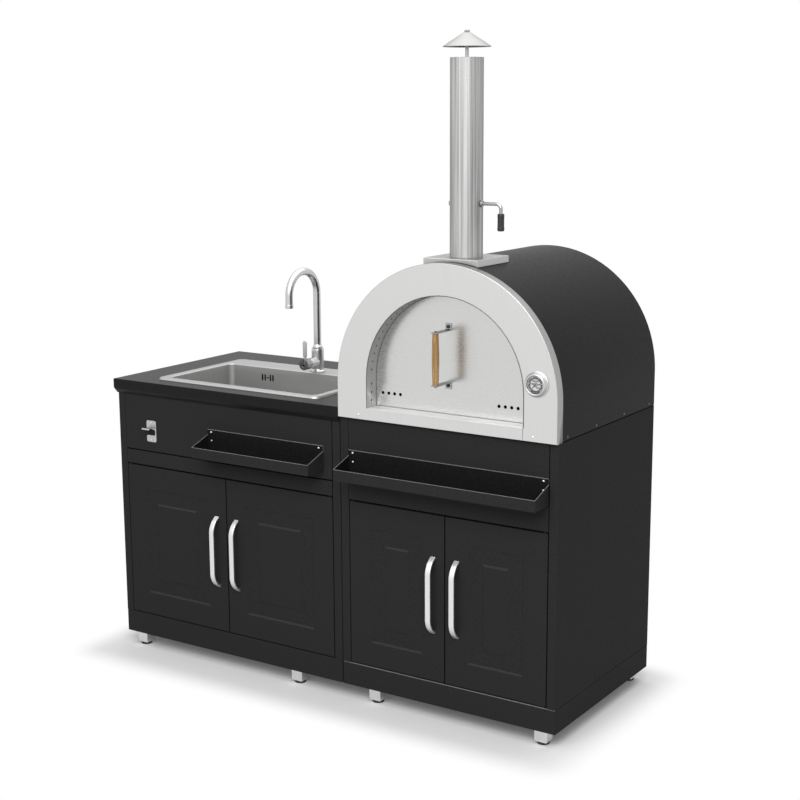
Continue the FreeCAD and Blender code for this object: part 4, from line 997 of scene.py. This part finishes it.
def sill_cover():
    """Thin folded cover on the sill, seen as a ledge and a strip below the mouth."""
    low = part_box("oven_face")[0]
    left, front, top = OVEN_MID - MOUTH_RADIUS + 0.0015, low.y - 0.0012, SILL_Z + 0.0006
    line = [(left, low.y + 0.045, top), (left, front, top), (left, front, low.z + 0.003)]
    cover = folded(line, X * (2 * MOUTH_RADIUS - 0.003), -Y, 0.0016)
    piece = add_piece("sill_cover", cover, "kitchen", "stainless", FACE)
    # Painted highlight: the cover's up-facing faces get the lighter steel.
    thicken(pick_out(piece, SILL_HIGHLIGHT_STEEL, lambda f: f.normal.z > 0.8), 0.0005)


def hood_shell():
    """Black arch over the oven, open below, and black painted shadow in the seam under it."""
    low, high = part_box("oven_hood")
    radius = arch_of("oven_hood")[0] - 0.0008
    bm = bmesh.new()
    rim = arch_line(bm, HOOD_SPRING, radius, low.z + 0.003, low.y, 72)
    push_edges(bm, rim[:-1], Y * (high.y - low.y))
    turn_to(bm, Z)
    bmesh.ops.delete(bm, geom=[e for e in bm.edges if not e.link_faces], context="EDGES")
    outer, inner = radius - 0.0004, radius - 0.004
    shadow_blocks("hood_seam", 0.0003, *(
        ((OVEN_MID + left, low.y + 0.002, low.z), (OVEN_MID + right, high.y - 0.002, low.z + 0.0034))
        for left, right in ((-outer, -inner), (inner, outer))))
    thicken(dress("oven_hood", "hood_arch", bm, HOOD))


def arched_plate(node, name, spring, finish):
    """Flat arched plate in the place of a CAD node."""
    low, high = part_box(node)
    bm = bmesh.new()
    edges = arch_line(bm, spring, arch_of(node)[0], low.z, low.y)
    bmesh.ops.contextual_create(bm, geom=edges)
    push_faces(bm, bm.faces[:], Y * (high.y - low.y))
    bmesh.ops.recalc_face_normals(bm, faces=bm.faces)
    return dress(node, name, bm, finish)


def oven_door():
    """Arched door pan with a folded edge, and its back sheet, both with the draught holes."""
    low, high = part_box("oven_door")
    grip_low, grip_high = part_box("oven_door_grip")
    grip_x = (grip_low.x + grip_high.x) / 2
    vents = [((grip_x + side * (MOUTH_RADIUS - VENT_SIDE - n * VENT_PITCH), low.y, SILL_Z + VENT_RISE), Y)
             for side in (-1, 1) for n in range(4)]
    bm = bmesh.new()
    rim = arch_line(bm, MOUTH_SPRING, arch_of("oven_door")[0] + DOOR_ROLL, low.z, low.y)
    bmesh.ops.contextual_create(bm, geom=rim)
    push_edges(bm, rim, Y * (high.y - low.y))
    round_edges(bm, [e for e in rim[:-1] if e.is_valid], 0.0012)
    turn_to(bm, -Y)
    pan = thicken(dress("oven_door", "oven_door_pan", bm, DOOR_STEEL))
    back = arched_plate("oven_door_liner", "oven_door_back", MOUTH_SPRING, PLATE)
    for piece in (pan, back):
        cut_through(piece, turned(disc(VENT_RADIUS, -0.004, 0.05), vents, 24))
    # Painted shade: near-black sleeves line the draught holes.
    shadow_sleeves = turned(ring(VENT_RADIUS + 0.0002, VENT_RADIUS + 0.0008, 0.001, 0.019), vents, 24)
    add_piece("vent_sleeves", shadow_sleeves, "oven_door", "black_plastic", SHADOW_BLACK)


def door_grip():
    """Wooden grip, its two bent straps and their bolts."""
    low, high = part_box("oven_door_grip")
    x, y, middle = (low + high) / 2
    half = (high.z - low.z) / 2
    lower = [(0, -half), (0.0072, -half), (0.0085, 0.0015 - half), (0.0095, -half * 0.6),
             (0.0104, -half * 0.2)]
    profile = lower + [(0.0105, 0)] + [(r, -h) for r, h in reversed(lower)]
    turned_piece("oven_door_grip", "door_grip_wood", profile, (x, y, middle), Z, WOOD, 40, 0.002)
    seat_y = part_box("oven_door")[0].y - 0.0025
    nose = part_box("oven_door_brackets")[0].y
    bolt = [(0, 0.004), (0.0034, 0.004), (0.005, 0.003), (0.0055, 0.0012), (0.0055, 0.0), (0, 0.0)]
    screw = [(0, 0.0018), (0.0024, 0.0017), (0.0036, 0.0006), (0.0036, 0.0), (0, 0.0)]
    straps, bolts = bmesh.new(), bmesh.new()
    for side in (-1, 1):
        z = middle + side * half
        line = [(nose, z + side * 0.0001), (seat_y, z + side * 0.0001), (seat_y, z + side * 0.018)]
        strap = folded([(x - STRAP_HALF, *point) for point in line], X * 2 * STRAP_HALF, -Y, 0.003)
        make_solid(strap, 0.0023)
        join_into(straps, strap)
        turned_into(bolts, bolt, (x, seat_y, z + side * 0.0085), -Y, 24)
        turned_into(bolts, screw, (x, y, z + side * 0.0024), side * Z, 18)
    outward(bolts)
    dress("oven_door_brackets", "grip_straps", straps, ROD)
    add_piece("grip_bolts", bolts, "oven_door", "black_plastic", INK)


def dial_spoke(share):
    """Angle and direction at a share of the dial's scale, which runs 270 degrees from the lower left."""
    angle = math.radians(225 - 270 * share)
    return angle, spoke_at(angle)


def dial_print(centre):
    """Marks and plain numbers of the dial, on its face round the given centre."""
    marks = bmesh.new()
    for n in range(51):
        angle, spoke = dial_spoke(n / 50)
        reach, width = (0.0056, 0.0014) if n % 10 == 0 else (0.0032, 0.0007)
        place = Matrix.Translation(centre + spoke * (0.024 - reach / 2)) @ Matrix.Rotation(-angle, 4, "Y")
        bmesh.ops.create_cube(marks, size=1.0, matrix=place @ Matrix.Diagonal((reach, 0.0002, width, 1)))
    add_piece("dial_marks", marks, "kitchen", "dial_enamel", ENAMEL, smooth=False)
    for n in range(6):
        number = str(n * 100)
        text = bpy.data.curves.new("figure", "FONT")
        text.body, text.size, text.offset, text.extrude = number, 0.0066, 0.00022, 0.0001
        text.align_x, text.align_y = "CENTER", "CENTER"
        holder = in_scene("figure", text)
        mesh = finished_mesh(holder)
        bpy.data.objects.remove(holder)
        bpy.data.curves.remove(text)
        spot = centre + dial_spoke(n / 5)[1] * 0.0112
        mesh.transform(Matrix.Translation(spot) @ Matrix.Rotation(math.radians(90), 4, "X"))
        figure = bmesh.new()
        figure.from_mesh(mesh)
        bpy.data.meshes.remove(mesh)
        add_piece("dial_figure_" + number, figure, "kitchen", "needle_paint", INK, smooth=False)


def thermometer():
    """Bezel with its probe, printed dial, pointer and lens."""
    pivot = Vector(joint["thermometer_needle_turn"]["pos_m"])
    case = [(0, 0.007), (0.025, 0.007), (0.025, 0.0128), (0.0262, 0.0138), (0.0277, 0.0138), (0.029, 0.0132),
            (0.0338, 0.0032), (0.0358, 0.0022), (0.036, 0.0008), (0.0355, 0.0), (0.008, 0.0), (0.008, -0.014),
            (0.003, -0.014), (0.003, -0.129), (0, -0.13)]
    turned_piece("thermometer_case", "thermometer_bezel", case, pivot, -Y, CHROME, 72, 0.0004)
    plate = ring(0.0011, 0.0249, 0.0072, 0.008)
    turned_piece("thermometer_dial", "dial_plate", plate, pivot, -Y, ENAMEL, soften=0)
    scale = bmesh.new()
    for near, far in ((0.0046, 0.0064), (0.0156, 0.0246)):
        turned_into(scale, ring(near, far, 0.0079, 0.0081), pivot, -Y, 64)
    outward(scale)
    add_piece("dial_scale", scale, "kitchen", "needle_paint", INK)
    dial_print(pivot - Y * 0.0082)
    softened_copy("dial_pointer", "thermometer_needle", 0.0001, INK)
    lens = [(0, 0.0125), (0.0249, 0.0125), (0.0249, 0.0136), (0.018, 0.01385), (0, 0.01395)]
    turned_piece("thermometer_lens", "dial_lens", lens, pivot, -Y, GLASS, soften=0)


def chimney():
    """Saddle cover, flue pipe, and the cone cap on its stem."""
    softened_copy("chimney_saddle", "chimney_base", 0.0018, PLATE, segments=3)
    low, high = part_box("chimney_pipe")
    y, outer, length = (low.y + high.y) / 2, (high.x - low.x) / 2, high.z - low.z
    inner = outer - SHEET
    pipe = [(inner, 0), (outer, 0), (outer, length - 0.0008), (outer - 0.0004, length),
            (inner + 0.0004, length), (inner, length - 0.0008), (inner, 0)]
    flue = turned_piece("chimney_pipe", "flue_pipe", pipe, (OVEN_MID, y, low.z), Z, PIPE, 96, soften=0)
    cut_through(flue, turned(disc(0.00505, -0.08, 0.08), [(joint["damper_turn"]["pos_m"], X)], 24))
    low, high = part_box("rain_cap")
    brim = (high.x - low.x) / 2
    cone = [(brim - 0.0015, -0.0006), (brim, 0.0), (brim - 0.0008, 0.0014), (0.04, 0.0185), (0.0065, 0.0393),
            (0.0051, 0.0393), (0.0051, 0.038), (0.039, 0.0172), (brim - 0.0015, 0.0006),
            (brim - 0.0015, -0.0006)]
    turned_piece("rain_cap", "rain_cone", cone, (OVEN_MID, y, low.z + 0.0006), Z, CONE, 72, 0.0002)
    low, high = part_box("cap_stem")
    nut_z = high.z - 0.006
    stem = bmesh.new()
    box_into(stem, low, (high.x, high.y, low.z + 0.003), 0.0006)
    turned_into(stem, disc(0.005, 0.0005, nut_z - low.z), (OVEN_MID, y, low.z), Z, 28)
    outward(stem)
    nut = [(0, 0), (0.008, 0), (0.008, 0.0034), (0.006, 0.005), (0.0035, 0.0058), (0, 0.006)]
    join_into(stem, turned(nut, [((OVEN_MID, y, nut_z), Z)], 6))
    dress("cap_stem", "cap_post", stem, ROD)


def damper_crank():
    """Butterfly plate on its bent spindle, with collars and a black grip."""
    turn = Vector(joint["damper_turn"]["pos_m"])
    low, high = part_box("damper")
    tail, reach, bend = low.x + 0.0004, high.x - 0.005, 0.014
    bm = bmesh.new()
    turned_into(bm, rounded_profile(disc(0.0435, -0.001, 0.001), 0.0006), turn, Y, 64)
    rod_into(bm, 0.005, (tail, turn.y, turn.z), [
        ("run", X * (reach - bend - tail)),
        ("bend", (reach - bend, turn.y, turn.z - bend), Y, math.pi / 2),
        ("run", Z * (low.z - turn.z + bend + 0.0006)),
    ], 24)
    collar = rounded_profile(disc(0.009, 0, 0.006), 0.0008)
    for side in (1, -1):
        turned_into(bm, collar, turn + side * X * 0.047, side * X, 32)
    outward(bm)
    dress("damper", "damper_spindle", bm, ROD)
    low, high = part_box("damper_grip")
    x, y, length = (low.x + high.x) / 2, (low.y + high.y) / 2, high.z - low.z
    grip = [(0, 0.012), (0.0051, 0.012), (0.0051, 0.0), (0.0078, 0.0), (0.0092, 0.0014), (0.0098, 0.006),
            (0.0093, 0.012), (0.0093, length * 0.7), (0.01, length - 0.006), (0.0092, length - 0.0012),
            (0.007, length), (0, length)]
    turned_piece("damper_grip", "damper_handle", grip, (x, y, high.z), -Z, PLASTIC, 36, 0.0006)


def small_screws():
    """Screws of trays and opener, and the sheet screws of the oven's seams and of the backs."""
    places = [(((low.x + high.x) / 2, high.y, (low.z + high.z) / 2), -Y)
              for low, high in loose_solids("panel_screws", 0.0085, Y)]
    dress("panel_screws", "tray_screws", screws_at(places, 0.004, 0.0024), CHROME)
    face_y, (low, high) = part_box("oven_face")[0].y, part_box("oven_hood")
    places = [((OVEN_MID + side * 0.285, face_y, low.z + 0.014), -Y) for side in (-1, 1)]
    add_piece("face_screws", screws_at(places, 0.0032, 0.0018), "kitchen", "chrome", FOOT)
    places = [((edge - side * 0.001, low.y + (high.y - low.y) * share, low.z + 0.012), side * X)
              for side, edge in ((-1, low.x), (1, high.x)) for share in (0.06, 0.35, 0.65, 0.94)]
    # The hood's screws take the light grey coat as their own grey.
    add_piece("hood_screws", screws_at(places, 0.0036, 0.001), "kitchen", "chrome", HIGHLIGHT_AND_SCREW_GREY)
    places = []
    for node in ("sink_back_panel", "oven_back_panel"):
        low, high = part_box(node)
        places += [((x, high.y + SHEET, low.z + 0.05 + (high.z - low.z - 0.1) * n / 4), Y)
                   for x in (low.x + 0.01, high.x - 0.01) for n in range(5)]
    add_piece("back_screws", screws_at(places, 0.0036, 0.0018), "kitchen", "chrome", FOOT)


# Kitchen

# The oven's base gets a painted highlight on its front fold.
for unit, fold_coat_or_highlight in (("sink", BLACK), ("oven", HIGHLIGHT_AND_SCREW_GREY)):
    base_shell(unit + "_base", fold_coat_or_highlight)
    side_shells(unit + "_side_panels")
    flat_sheet(unit + "_back_panel")
    tray_trough(unit + "_tray")
    for hand in ("left", "right"):
        cabinet_door(f"{unit}_{hand}_door")
        bow_handle(f"{unit}_{hand}_handle")
for panel in ("sink_rail", "sink_apron", "oven_tray_panel", "oven_fascia"):
    front_shell(panel)
flat_sheet("oven_deck")
legs()
wall_opener()
softened_copy("door_pivots", "hinge_pins", 0.0004, BLACK, degrees=60.0)

free_low, free_high = next(o["box_m"] for o in record["physics"]["openings"] if o["name"] == "sink_bowl")
bowl_loop = widened(free_low[0], free_high[0], free_low[1], free_high[1], BOWL_MARGIN)
drain_at = joint["strainer_lift"]["pos_m"]
worktop_press(widened(*bowl_loop, CUTOUT_MARGIN))
sink_basin(bowl_loop, drain_at)
overflow_box(bowl_loop)
waste_fittings(drain_at)
mixer_tap()

oven_front()
oven_mouth()
mouth_bead()
mouth_rivets()
sill_cover()
hood_shell()
arched_plate("hood_rear", "hood_back", HOOD_SPRING, HOOD)
oven_door()
door_grip()
thermometer()
chimney()
damper_crank()
small_screws()
softened_copy("hearth_tiles", "hearth_stones", 0.0025, STONE, segments=3)
softened_copy("hearth_slab", "hearth_board", 0.001, BOARD)
for node, finish in (("oven_chamber", SOOT), ("insulation_blanket", FIBRE)):
    frame["nodes"][node].data.materials.clear()
    frame["nodes"][node].data.materials.append(finish)


# Stage

def seen_directly(tree):
    """1 for what the camera sees, straight or by way of a mirror or glass, and 0 for light on the object."""
    path = add_node(tree, "LightPath")
    seen = path.outputs["Is Camera Ray"]
    for ray in ("Is Glossy Ray", "Is Transmission Ray"):
        seen = combined(tree, "MAXIMUM", seen, path.outputs[ray])
    return seen


def combined(tree, operation, first, second):
    node = add_node(tree, "Math")
    node.operation = operation
    tree.links.new(first, node.inputs[0])
    tree.links.new(second, node.inputs[1])
    return node.outputs["Value"]


def mixed(tree, share, first, second, output):
    """Mix two shaders by a share and send the result to an output node."""
    pick = add_node(tree, "MixShader")
    tree.links.new(share, pick.inputs["Fac"])
    tree.links.new(first, pick.inputs[1])
    tree.links.new(second, pick.inputs[2])
    tree.links.new(pick.outputs["Shader"], tree.nodes[output].inputs["Surface"])


def studio_floor():
    """Pale floor that is white to the camera, apart from the shadow near the object's footprint."""
    bm = bmesh.new()
    bmesh.ops.create_grid(bm, x_segments=1, y_segments=1, size=30.0)
    floor = in_scene("studio_floor", mesh_of("studio_floor", bm))
    pale = bpy.data.materials.new("pale_floor")
    pale.use_nodes = True
    tree = pale.node_tree
    tree.nodes.remove(tree.nodes["Principled BSDF"])
    spot = add_node(tree, "TexCoord").outputs["Object"]
    for operation, value in (("ABSOLUTE", None), ("SUBTRACT", FOOTPRINT_HALF), ("MAXIMUM", (0, 0, 0)),
                             ("LENGTH", None)):
        step = add_node(tree, "VectorMath")
        step.operation = operation
        if value:
            step.inputs[1].default_value = value
        tree.links.new(spot, step.inputs[0])
        spot = step.outputs["Value" if operation == "LENGTH" else "Vector"]
    fade = add_node(tree, "MapRange", From_Min=0.0, From_Max=0.14, To_Min=0.1, To_Max=1.0)
    fade.interpolation_type = "SMOOTHSTEP"
    tree.links.new(spot, fade.inputs["Value"])
    share = combined(tree, "MULTIPLY", seen_directly(tree), fade.outputs["Result"])
    matt = add_node(tree, "BsdfDiffuse", Color=(*grey(0.82), 1))
    white = add_node(tree, "Emission")
    mixed(tree, share, matt.outputs["BSDF"], white.outputs["Emission"], "Material Output")
    floor.data.materials.append(pale)


def studio_world():
    """Soft even light on the object, white wherever the camera looks past it."""
    world = bpy.data.worlds.new("studio")
    bpy.context.scene.world = world
    world.use_nodes = True
    tree = world.node_tree
    soft = tree.nodes["Background"]
    set_sockets(soft, {"Color": (1, 1, 1, 1), "Strength": 0.27})
    white = add_node(tree, "Background", Color=(1, 1, 1, 1), Strength=1.0)
    mixed(tree, seen_directly(tree), soft.outputs["Background"], white.outputs["Background"], "World Output")


def studio_lamp(name, place, aim, size, power):
    lamp = bpy.data.lights.new(name, "AREA")
    lamp.shape = "RECTANGLE"
    lamp.size, lamp.size_y = size
    lamp.energy = power
    holder = in_scene(name, lamp)
    holder.location = place
    holder.rotation_euler = (Vector(aim) - Vector(place)).to_track_quat("-Z", "Y").to_euler()


def studio_camera():
    """The camera that was fitted to the photo: bearing, tilt down and roll in degrees."""
    bearing, tilt, roll = 33.23, 11.16, -0.29
    lens = bpy.data.cameras.new("camera")
    lens.sensor_width = 36.0
    lens.lens = 67.28
    lens.clip_end = 100.0
    camera = in_scene("camera", lens)
    camera.location = (2.581, -3.761, 1.763)
    turn = Matrix.Identity(3)
    for degrees, axis in ((bearing, "Z"), (90 - tilt, "X"), (roll, "Z")):
        turn = turn @ Matrix.Rotation(math.radians(degrees), 3, axis)
    camera.rotation_euler = turn.to_euler()
    bpy.context.scene.camera = camera


studio_floor()
studio_world()
studio_lamp("key_light", (1.3, -3.5, 3.5), (0.3, 0, 0.8), (5.0, 2.6), 160)
studio_lamp("fill_light", (-3.4, -1.8, 2.8), (0, 0, 0.9), (2.0, 2.6), 2)
studio_lamp("top_light", (0.2, 0.6, 4.2), (0.2, 0.1, 1.0), (5.5, 5.5), 130)
studio_camera()
bpy.context.scene.view_settings.view_transform = "Standard"
